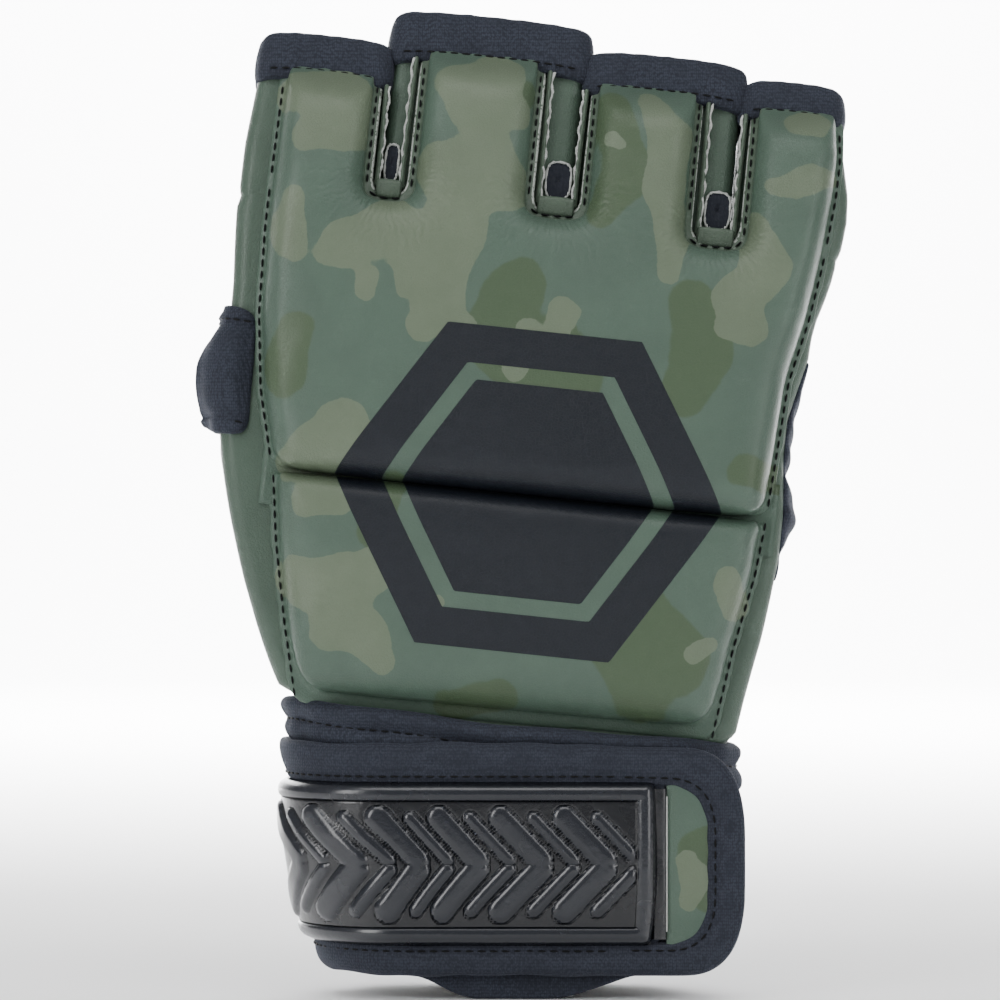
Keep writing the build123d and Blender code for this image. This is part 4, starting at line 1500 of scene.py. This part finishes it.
def makeCuffBand():
    # the turned top of the cuff: a folded band with one soft ridge
    line = ovalLine(cuff["width"] + 0.6, cuff["depth"] + 0.6)
    normal = lineNormals(line)
    shape = [
        (-0.9, -10.6), (0.6, -10.4), (1.5, -9.0), (1.8, -7.2), (1.2, -5.7), (0.55, -5.0), (1.1, -4.3),
        (1.9, -3.0), (2.2, -1.8), (1.7, -0.7), (0.6, 0.0), (-0.8, -0.1), (-1.6, -0.9), (-1.8, -3),
        (-1.9, -6), (-1.9, -9),
    ]
    turn = np.linspace(0, 2 * math.pi, len(line), endpoint=False)
    rows = []
    for (x, y), (nx, ny), q in zip(line, normal, turn):
        top = heightOfLevel(x, cuff["top"]) + 0.5 * math.sin(3 * q + 1) + 0.25 * math.sin(8 * q)
        ruffle = 0.22 * math.sin(13 * q) + 0.18 * math.sin(29 * q + 1)
        rows.append([(x + nx * (o + ruffle), y + ny * (o + ruffle), top + h) for o, h in shape])
    piece = gridPiece("cuffTopBand", drawnIn(rows) * mm, closeAcross=True, closeAlong=True)
    recalculate(piece)
    modifier(piece, "SUBSURF", levels=1, render_levels=1)
    finishPiece(piece, blackKnit, body="back_of_hand", slot="knit_binding")
    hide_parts("cuff_upper_band", "cuff_top_binding")


makeCuffTube()
makeCuffBand()
print("glove: cuff made")


# the strap, from its sewn end behind, round the thumb side and over the cuff's front
strap = {
    "bend": (-32.0, 1.5), "radius": 20.6, "rootRadius": 19.6, "rootEnd": 30.0, "turnAt": 4.5,
    "low": 5.4, "high": 56.9, "panelLow": 13.0, "panelHigh": 47.4, "thick": 1.8, "binding": 3.3,
    "badgeEnd": 28.0, "stripEnd": 31.15, "end": 48.6, "joinAt": 21.0,
}


def strapRadius(y):
    return strap["radius"] + (strap["rootRadius"] - strap["radius"]) * smooth(y, 4, 18)


def strapLine(frontEnd, rearEnd=None, step=1.5, turnTo=None):
    # the strap's inner face from above: from the rear end (or a height y on the bend) to the front end
    cx, cy = strap["bend"]
    pts = []
    if rearEnd is not None:
        pts += [(x, cy + strap["rootRadius"]) for x in np.arange(rearEnd, cx, -step)]
    first = math.pi / 2 if turnTo is None else math.asin((turnTo - cy) / strap["radius"])
    for q in np.linspace(first, -math.pi / 2, 44):
        r = float(strapRadius(cy + math.sin(q) * strap["radius"]))
        pts.append((cx - r * math.cos(q), cy + r * math.sin(q)))
    pts += [(x, cy - strap["radius"]) for x in np.arange(cx + step, frontEnd + 0.01, step)]
    pts.append((frontEnd, cy - strap["radius"]))
    line = np.array(pts)
    keep = np.concatenate([[True], np.linalg.norm(np.diff(line, axis=0), axis=1) > 0.2])
    return resample(line[keep], step)


def strapNormals(line):
    normal = -lineNormals(line, closed=False)
    return -normal if normal[-1, 1] > 0 else normal


def carried(line, profileAt):
    normal = strapNormals(line)
    rows = []
    for i, ((x, y), (nx, ny)) in enumerate(zip(line, normal)):
        rows.append([(x + nx * o, y + ny * o, z) for o, z in profileAt(i, x, y)])
    return drawnIn(rows)


def blendStrap(piece):
    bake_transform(piece)


def makeStrapPanel():
    line = strapLine(strap["stripEnd"], strap["rootEnd"])
    t = strap["thick"]

    def profileAt(i, x, y):
        zs = np.linspace(strap["panelLow"] - 1.5, strap["panelHigh"] + 1.5, 22)
        outer = [(t, z) for z in zs]
        return outer + [(0.0, z) for z in zs[::-1]]

    piece = gridPiece("strapPanel", carried(line, profileAt) * mm, closeAlong=False, closeAcross=True)
    editAll(piece, lambda: bpy.ops.mesh.region_to_loop(), lambda: bpy.ops.mesh.edge_face_add())
    recalculate(piece)
    finishPiece(piece, strapKnit, slot="strap_cloth", angle=50)
    blendStrap(piece)
    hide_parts("strap_panel", "strap_root")


def bindingProfile(edge, inner, thick, up, crest=0.45):
    # folded over the strap's edge: rounded outside, a stitched dip near its inner side
    half = thick / 2
    width = abs(edge - inner)
    sign = 1 if edge > inner else -1
    front = [
        (0.0, 0.15), (0.12, 0.75), (0.24, 0.82), (0.34, 1.0), (0.55, 1.0 + crest / half),
        (0.8, 1.0 + crest / half * 0.8), (0.93, 0.75), (1.0, 0.25),
    ]
    made = [(half + half * h + up, inner + sign * width * k) for k, h in front]
    back = [(1.0, 0.25), (0.93, 0.75), (0.6, 1.0), (0.3, 1.0), (0.0, 0.8)]
    made += [(half - half * h + up, inner + sign * width * k) for k, h in back]
    return made


def makeStrapBinding():
    line = strapLine(strap["joinAt"] + 0.8, strap["rootEnd"])
    pieces = []
    for edge, inner in ((strap["high"], strap["panelHigh"]), (strap["low"], strap["panelLow"])):
        def profileAt(i, x, y):
            wave = 0.18 * math.sin(i * 0.55) + 0.15 * math.sin(i * 0.21 + edge)
            settle = float(smooth(x, 10, 21)) if y < 0 else 0.0
            drop = 0.8 * settle if edge > inner else 0.0
            made = []
            for o, z in bindingProfile(edge, inner, strap["binding"], -0.3):
                shift = wave * (1 - settle) - drop * (z - inner) / (edge - inner)
                made.append((o + wave * (1 - settle) * 0.6, z + shift))
            return made

        piece = gridPiece("binding", carried(line, profileAt) * mm, closeAcross=True)
        pieces.append(piece)
    piece = joined(pieces, "strapBinding")
    recalculate(piece)
    modifier(piece, "SUBSURF", levels=1, render_levels=1)
    finishPiece(piece, strapKnit, slot="knit_binding")
    blendStrap(piece)
    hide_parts("strap_binding", "strap_root_binding")


def reliefAt(s, z, length):
    # the badge's moulded pattern, made only of a raised rim and chevrons of plain bars: 0 low to 1 raised
    high = strap["panelHigh"] - strap["panelLow"]
    y = z - strap["panelLow"]
    border = np.minimum.reduce([y, high - y, length - s, s + 20])
    rim = smooth(border, 0.5, 1.3) * (1 - smooth(border, 2.2, 3.0))
    inside = border > 4.0

    def bar(x1, y1, x2, y2, half):
        dx, dy = x2 - x1, y2 - y1
        k = np.clip(((s - x1) * dx + (y - y1) * dy) / (dx * dx + dy * dy), 0, 1)
        return half - np.hypot(s - x1 - k * dx, y - y1 - k * dy)

    best = np.full(np.shape(s), -9.0)
    middle = high / 2
    for start in np.arange(5.0, length - 15, 14.1):
        for shift, half in ((0.0, 2.2), (7.2, 1.0)):
            tip = start + shift + 8.8
            for up in (1, -1):
                arm = bar(start + shift, middle + up * (middle - 7.0), tip, middle + up * 1.0, half)
                best = np.maximum(best, arm)
    bars = smooth(best, -0.3, 0.6) * inside
    return np.maximum(rim, bars), rim


def makeBadge():
    line = strapLine(strap["badgeEnd"], turnTo=strap["turnAt"] - 0.5, step=0.5)
    normal = strapNormals(line)
    along = np.concatenate([[0], np.cumsum(np.linalg.norm(np.diff(line, axis=0), axis=1))])
    length = along[-1]
    zs = np.linspace(strap["panelLow"] + 0.2, strap["panelHigh"] - 0.2, 82)
    s, z = np.meshgrid(along, zs, indexing="ij")
    relief, rim = reliefAt(s, z, length)
    edge = np.minimum.reduce([z - zs[0], zs[-1] - z, length - s])
    raised = np.where(rim > 0.01, rim * 0.75, relief)
    lift = strap["thick"] + 0.15 + 1.0 * smooth(edge, -0.1, 0.7) + 0.95 * raised
    lift += 0.45 * np.sin((z - zs[0]) / (zs[-1] - zs[0]) * math.pi) + 0.15 * np.sin(s / 8) * np.sin(z / 6)
    x = line[:, None, 0] + normal[:, None, 0] * lift
    y = line[:, None, 1] + normal[:, None, 1] * lift
    piece = gridPiece("badge", drawnIn(np.stack([x, y, z], axis=-1)) * mm)
    pointValue(piece, "relief", relief.ravel() if len(piece.data.vertices) == relief.size else 0)
    modifier(piece, "SOLIDIFY", thickness=1.2 * mm, offset=-1)
    finishPiece(piece, badgeRubber, body="strap", slot="badge_rubber")
    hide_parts("badge")


def makeEndStrip():
    y = strap["bend"][1] - strap["radius"] - strap["thick"]
    xs = [
        strap["badgeEnd"] + 0.1, strap["badgeEnd"] + 0.3, strap["badgeEnd"] + 0.6,
        strap["stripEnd"] - 0.6, strap["stripEnd"] - 0.3, strap["stripEnd"] - 0.1,
    ]
    lifts = [0.1, 0.8, 1.1, 1.1, 0.8, 0.1]
    zs = np.linspace(strap["panelLow"] + 0.6, strap["panelHigh"] - 0.6, 40)
    rows = np.array([[(x, y - l - 0.1 * math.sin(z / 3), z) for x, l in zip(xs, lifts)] for z in zs])
    piece = gridPiece("badgeEndStrip", rows * mm)
    modifier(piece, "SOLIDIFY", thickness=0.5 * mm, offset=0)
    pointValue(piece, "relief", np.full(len(piece.data.vertices), 0.2))
    finishPiece(piece, badgeRubber, body="strap", slot="badge_rubber", angle=50)
    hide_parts("badge_end_strip")
    bead = ((-0.15, 0.5), (-0.1, 1.05), (0.15, 1.1), (0.25, 0.5))
    line = np.array([[(strap["stripEnd"] + dx, y - dy, z) for dx, dy in bead] for z in zs[2:-2]])
    # a pale bead on the strip's end, a painted highlight of its cut edge
    shineBead = gridPiece("endStripShineBead", line * mm, closeAcross=True)
    recalculate(shineBead)
    finishPiece(shineBead, edgeShinePaint, body="strap", slot="badge_rubber")


def tipOutline(inset):
    low, high, end = strap["low"] + inset * 0.855, strap["high"] - 0.8 - inset, strap["end"] - inset
    rounding = max(15.5 - inset * 0.85, 5.0)
    line = roundCorners(
        [(strap["joinAt"], high), (end, high - 0.5), (end, low), (strap["joinAt"], low)],
        rounding * 1.25, closed=False, steps=12,
    )
    return line


def makeTip():
    y0 = strap["bend"][1] - strap["radius"]
    outer, inner = tipOutline(0.0), tipOutline(strap["high"] - strap["panelHigh"] - 0.6)
    count = 110
    outer = resample(outer, 0.01)[np.linspace(0, len(resample(outer, 0.01)) - 1, count).astype(int)]
    inner = resample(inner, 0.01)[np.linspace(0, len(resample(inner, 0.01)) - 1, count).astype(int)]
    profile = bindingProfile(1.0, 0.0, strap["binding"], -0.3)
    rows = []
    for n, (o, i) in enumerate(zip(outer, inner)):
        wave = 0.14 * math.sin(n * 0.6) * math.sin(math.pi * n / (count - 1))
        rows.append(
            [(i[0] + (o[0] - i[0]) * k, y0 - out - wave, i[1] + (o[1] - i[1]) * k) for out, k in profile]
        )
    binding = gridPiece("strapTipBinding", np.array(rows) * mm, closeAcross=True)
    recalculate(binding)
    modifier(binding, "SUBSURF", levels=1, render_levels=1)
    finishPiece(binding, strapKnit, slot="knit_binding")
    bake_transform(binding)
    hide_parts("strap_tip_binding")
    # the printed leather set inside the binding
    middle = (strap["panelLow"] + strap["panelHigh"]) / 2
    zs = np.linspace(-1, 1, 44)
    rows = []
    for z in zs:
        height = z * ((strap["panelHigh"] - strap["panelLow"]) / 2 + 1.5)
        end = strap["end"] - 6.5 - 7.5 * max(abs(z) - 0.45, 0) ** 2 / 0.3
        row = []
        for k in np.linspace(0, 1, 18):
            crown = 0.7 * math.sin(math.pi * min(k + 0.12, 1)) * math.cos(z * 1.3)
            x = strap["stripEnd"] + k * (end - strap["stripEnd"])
            row.append((x, y0 - 1.9 - crown, middle + height))
        rows.append(row)
    panel = gridPiece("strapTipPanel", np.array(rows) * mm)
    modifier(panel, "SOLIDIFY", thickness=1.7 * mm, offset=-1)
    recalculate(panel)
    for name in ("lip", "slotEdgeShine"):
        pointValue(panel, name, np.zeros(len(panel.data.vertices)))
    paintCamo(panel)
    finishPiece(panel, camoLeather, slot="camo_leather", angle=50)
    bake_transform(panel)
    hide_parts("strap_tip_panel")


def fastenerPatch(name, cadName, body, x1, x2, z1, z2, y, deep):
    deselect()
    bpy.ops.mesh.primitive_cube_add(size=1)
    patch = bpy.context.object
    patch.name = patch.data.name = name
    local = coords(patch) * [x2 - x1, deep, z2 - z1] + [(x1 + x2) / 2, y, (z1 + z2) / 2]
    setCoords(patch, local * mm)
    modifier(patch, "BEVEL", width=0.25 * mm, segments=2)
    finishPiece(patch, hookCloth, body=body, slot="hook_and_loop", angle=50)
    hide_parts(cadName)


hookCloth = knitFinish("hookCloth", colour=(38, 40, 46), rib=1.1)
makeStrapPanel()
makeStrapBinding()
makeBadge()
makeEndStrip()
makeTip()
fastenerPatch("loopPatch", "loop_patch", "back_of_hand", -30, 27, 17, 45, -17.95, 0.8)
fastenerPatch("hookPatch", "hook_patch", "strap", -8, 31.1, 13, 49, -18.75, 0.7)
fastenerPatch("tipHookPatch", "tip_hook_patch", "strap_tip", 31.9, 43.0, 19, 43, -18.75, 0.7)
print("glove: strap and badge made")

# stitches
def surfaceAt(local, points):
    # how high the surface stands (t) at each (a, w)
    heights = []
    a, w, t = local.T
    for x, y in points:
        near = (np.abs(a - x) < 0.75) & (np.abs(w - y) < 0.75)
        heights.append(float(np.percentile(t[near], 92)) if near.any() else 14.6)
    return np.array(heights)


def makeStitch():
    deselect()
    bpy.ops.mesh.primitive_uv_sphere_add(segments=6, ring_count=5, radius=1)
    stitch = bpy.context.object
    stitch.name = stitch.data.name = "stitch"
    return stitch


stitchShape = {"thick": 0.24, "length": 1.9, "gap": 0.75}
stitchModel = makeStitch()


def alongPath(path, steps, s):
    return np.array([np.interp(s, steps, path[:, k]) for k in range(3)])


def sewn(name, lines, cover, fit, spacing=None, length=None, sink=0.05):
    # lines are paths of points in metres with outward directions; a stitch is a copy laid along its path
    unit = coords(stitchModel)
    length = length or stitchShape["length"]
    spacing = spacing or length + stitchShape["gap"]
    made = []
    for path, outward in lines:
        path, outward = np.asarray(path), np.asarray(outward)
        steps = np.concatenate([[0], np.cumsum(np.linalg.norm(np.diff(path, axis=0), axis=1))]) / mm
        for start in np.arange(spacing * 0.3, steps[-1] - length, spacing):
            ends = [alongPath(path, steps, s) for s in (start, start + length)]
            out = alongPath(outward, steps, start + length / 2)
            out /= max(np.linalg.norm(out), 1e-9)
            along = ends[1] - ends[0]
            reach = np.linalg.norm(along)
            along /= max(reach, 1e-9)
            side = np.cross(along, out)
            thick = stitchShape["thick"] * mm
            middle = (ends[0] + ends[1]) / 2 - out * sink * mm
            copy = stitchModel.copy()
            copy.data = stitchModel.data.copy()
            bpy.context.collection.objects.link(copy)
            lengthways = unit[:, 2:3] * along * reach / 2
            sideways = unit[:, 0:1] * side * thick * 1.15
            setCoords(copy, middle + lengthways + sideways + unit[:, 1:2] * out * thick)
            made.append(copy)
    if not made:
        return
    piece = joined(made, name)
    recalculate(piece)
    finishPiece(piece, cover, body=fit if isinstance(fit, str) else None, slot="knit_binding")
    if not isinstance(fit, str):
        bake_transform(piece)
    return piece


def flatPath(points, surface, lift=0.12):
    # a row on the pads or flanges: (a, w) points laid on a surface
    points = resample(points, 0.9)
    t = surfaceAt(padSurface[surface], points) + lift
    t = np.convolve(np.pad(t, 2, mode="edge"), np.ones(5) / 5, mode="valid")
    local = np.column_stack([points, t])
    ahead = place(local + [0, 0, 1.0]) - place(local)
    return place(local), ahead


def fingerFit(name):
    return (
        "knuckles", name + "_finger", placed(0, lobeCuts[name] + 0.3, 13),
        placed(0, lobeCuts[name] + 11, 13),
    )


def cutAt(points, w, above):
    points = resample(points, 0.5)
    return points[points[:, 1] > w] if above else points[points[:, 1] <= w]


def makePadStitches():
    left = np.array(knucklePad["left"]) + [1.15, 0]
    right = (np.array(knucklePad["right"]) - [1.15, 0])[::-1]
    hold = [
        flatPath(cutAt(left, 175.4, False)[4:], "knuckles"),
        flatPath(cutAt(right, 172.6, False)[4:], "knuckles"),
    ]
    onFingers = {name: [] for name in fingerNames}
    onFingers["index"].append(flatPath(cutAt(cutAt(left, 175.4, True), 199.5, False), "knuckles"))
    onFingers["little"].append(flatPath(cutAt(cutAt(right, 172.6, True), 201.5, False), "knuckles"))
    for number, (centre, width, bottom) in enumerate(knucklePad["slots"]):
        half = width / 2 + 1.25
        before, after = fingerNames[number], fingerNames[number + 1]
        cuts = lobeCuts[before], lobeCuts[after]
        line = roundCorners(
            [
                (centre - half, 206), (centre - half, bottom - 1.25), (centre + half, bottom - 1.25),
                (centre + half, 206),
            ],
            3.6, False,
        )
        line = resample(line, 0.5)
        low = line[line[:, 1] < min(cuts)]
        hold.append(flatPath(low, "knuckles"))
        for side, name, cut in (
            (line[:, 0] < centre, before, cuts[0]), (line[:, 0] > centre, after, cuts[1]),
        ):
            part = line[side & (line[:, 1] > cut) & (line[:, 1] < fingers[name]["padEnd"] - 0.8)]
            onFingers[name].append(flatPath(part, "knuckles"))
    sewn("knucklePadStitches", hold, blackThread, "knuckles")
    for name, rows in onFingers.items():
        sewn(name + "PadStitches", rows, blackThread, fingerFit(name))
    backLeft = np.array(backPad["left"]) + [1.15, 0]
    backRight = (np.array(backPad["right"]) - [1.15, 0])[::-1]
    sewn(
        "backPadStitches",
        [flatPath(backLeft[:, :2] + [0, 1.0], "back"), flatPath(backRight, "back")], blackThread,
        "back_of_hand",
    )


def makeBindingStitches(name, f):
    section = resample(fingerSection(f, -0.7, 1.1, fingerBinding["corner"]), 1.0, closed=True)
    normals = sectionNormals(section)
    out = fingerBinding["thick"] / 2 + fingerBinding["swell"] * 0.6 + 0.28
    w = f["padEnd"] - fingerBinding["overlap"] + 1.7
    middle = (f["left"] + f["right"]) / 2
    reach = np.clip((section[:, 0] - middle) / (f["right"] - f["left"]) * 2, -1, 1)
    frontSide = smooth(section[:, 1], -4, 8)
    drop = 1.1 * np.abs(reach) ** 3 * frontSide + 0.6 * (1 - frontSide)
    local = np.column_stack(
        [section[:, 0] + normals[:, 0] * out, w - drop, section[:, 1] + normals[:, 1] * out]
    )
    ahead = place(
        local + np.column_stack([normals[:, 0], np.zeros(len(local)), normals[:, 1]])
    ) - place(local)
    rows = []
    for shown in (normals[:, 1] > 0.8, normals[:, 1] < -0.8):
        order = np.nonzero(shown)[0]
        order = np.roll(order, -1 - int(np.argmax(np.diff(order)))) if np.diff(order).max() > 1 else order
        rows.append((place(local)[order], ahead[order]))
    sewn(name + "BindingStitches", rows, blackThread, name + "_finger")


def strapRow(z, lift, x2, x1=None, turnTo=None):
    line = strapLine(x2, x1, turnTo=turnTo)
    normal = strapNormals(line)
    spots = np.column_stack([line + normal * lift, np.full(len(line), z)])
    return drawnIn(spots) * mm, np.column_stack([normal, np.zeros(len(line))])


def makeStrapStitches():
    high, low = strap["panelHigh"] + 2.1, strap["panelLow"] - 2.0
    lift = strap["binding"] - 0.35
    rows = [
        strapRow(high, lift, strap["joinAt"] - 0.5, strap["rootEnd"]),
        strapRow(low, lift, strap["joinAt"] - 0.5, strap["rootEnd"]),
    ]
    sewn(
        "strapStitches", rows, blackThread,
        ("back_of_hand", "strap", Vector((-0.0566, 0.013, 0.031)), Vector((-0.0566, 0.0035, 0.031))),
    )
    outline = resample(tipOutline(strap["high"] - strap["panelHigh"] - 0.6 - 2.2), 0.8)
    y = strap["bend"][1] - strap["radius"] - lift
    spots = np.column_stack([outline[:, 0], np.full(len(outline), y), outline[:, 1]]) * mm
    sewn(
        "strapTipStitches", [(spots, np.tile([0.0, -1.0, 0.0], (len(spots), 1)))], blackThread,
        ("strap", "strap_tip", Vector((0.0306, -0.02, 0.031)), Vector((0.0345, -0.02, 0.031))),
    )
    zig = []
    y = strap["bend"][1] - strap["radius"] - strap["thick"] - 1.55
    heights = np.arange(strap["panelLow"] + 1.2, strap["panelHigh"] - 2.4, 1.35)
    for k, z in enumerate(heights):
        x1, x2 = (26.6, 27.7) if k % 2 else (27.7, 26.6)
        zig.append((np.array([(x1, y, z), (x2, y, z + 1.35)]) * mm, np.tile([0.0, -1.0, 0.0], (2, 1))))
    sewn("badgeStitches", zig, blackThread, "strap", spacing=9, length=1.55)


def makeCuffStitches():
    line = ovalLine(cuff["width"] + 0.6, cuff["depth"] + 0.6)
    line = np.concatenate([line, line[:1]])
    normal = lineNormals(line)
    turn = np.linspace(0, 2 * math.pi, len(line))
    spots = []
    for (x, y), (nx, ny), q in zip(line, normal, turn):
        top = heightOfLevel(x, cuff["top"]) + 0.5 * math.sin(3 * q + 1) + 0.25 * math.sin(8 * q)
        spots.append((x + nx * 0.95, y + ny * 0.95, top - 5.1))
    sewn(
        "cuffBandStitches", [(drawnIn(spots) * mm, np.column_stack([normal, np.zeros(len(line))]))],
        blackThread, "back_of_hand",
    )


def makeSleeveStitches():
    rows = []
    for w in (sleeve["low"] + sleeve["hem"] - 0.6, sleeve["high"] - sleeve["hem"] + 0.6):
        for first, last in ((sleeve["dorsal"] + 0.8, 6.5), (27.5, sleeve["palmar"] - 1)):
            run = np.arange(first, last, 0.8)
            local = np.array([wallPoint(w + 0.11 * (s - 6), s, 1.75) for s in run])
            outer = np.array([wallPoint(w + 0.11 * (s - 6), s, 2.75) for s in run])
            rows.append((place(local), place(outer) - place(local)))
    sewn("thumbSleeveStitches", rows, blackThread, "knuckles")


makePadStitches()
for name, f in fingers.items():
    makeBindingStitches(name, f)
makeStrapStitches()
makeCuffStitches()
makeSleeveStitches()
bpy.data.objects.remove(stitchModel)
print("glove: stitches made")

# floor, light and camera
def addLight(name, where, target, size, power, colour=(1, 1, 1)):
    bpy.ops.object.light_add(type="AREA", location=where)
    light = bpy.context.object
    light.name = name
    light.data.shape = "RECTANGLE"
    light.data.size, light.data.size_y = size
    light.data.energy = power
    light.data.color = colour
    light.rotation_euler = (Vector(target) - Vector(where)).to_track_quat("-Z", "Y").to_euler()
    return light


studio = {
    "centre": (-0.0056, 0.0, 0.1105),
    "distance": 1.1,
    "lens": 176.0,
    "floorReach": 2.8,
    "backdropAt": 1.9,
    "world": 0.25,
}


def makeStage():
    steps = []
    reach, turn, height = studio["floorReach"], 0.35, 1.6
    for y in np.linspace(-reach, studio["backdropAt"], 6):
        steps.append((y, 0.0))
    for k in np.linspace(0.1, 1, 12):
        angle = k * math.pi / 2
        steps.append((studio["backdropAt"] + turn * math.sin(angle), turn * (1 - math.cos(angle))))
    steps.append((studio["backdropAt"] + turn, height))
    points = np.array([[(x, y, z) for x in np.linspace(-reach, reach, 9)] for y, z in steps])
    sweep = gridPiece("paperSweep", points)
    finish, tree, shader = newFinish("palePaper")
    where = objectPlace(tree)
    tone = mixColour(tree, grainOn(tree, where, 120, 2), toLinear(250, 250, 250), toLinear(247, 247, 248))
    tree.links.new(tone, shader.inputs["Base Color"])
    shader.inputs["Roughness"].default_value = 0.95
    shader.inputs["Specular IOR Level"].default_value = 0.1
    sweep.data.materials.append(finish)
    shadeSmooth(sweep)


def makeCamera():
    bpy.ops.object.camera_add(
        location=Vector(studio["centre"]) + Vector((0, -studio["distance"], 0)),
        rotation=(math.pi / 2, 0, 0),
    )
    camera = bpy.context.object
    camera.data.lens = studio["lens"]
    camera.data.sensor_width = 36
    camera.data.clip_end = 20
    bpy.context.scene.camera = camera


makeStage()
makeCamera()
world = bpy.data.worlds.new("studioAir")
bpy.context.scene.world = world
world.use_nodes = True
world.node_tree.nodes["Background"].inputs["Color"].default_value = (1, 1, 1, 1)
world.node_tree.nodes["Background"].inputs["Strength"].default_value = studio["world"]
addLight("leftSoftbox", (-0.75, -0.75, 0.45), (0, 0, 0.11), (0.4, 0.7), 5.6)
addLight("rightSoftbox", (0.8, -0.65, 0.35), (0, 0, 0.11), (0.3, 0.8), 3.3)
addLight("topSoftbox", (0.0, -0.45, 0.95), (0, 0, 0.12), (0.9, 0.4), 3.4)
addLight("backdropLight", (0.0, 1.2, 1.05), (0, 2.15, 0.2), (0.9, 0.3), 175)
addLight("floorLight", (0.0, 0.95, 0.5), (0, 0.98, 0.0), (1.3, 1.1), 24)
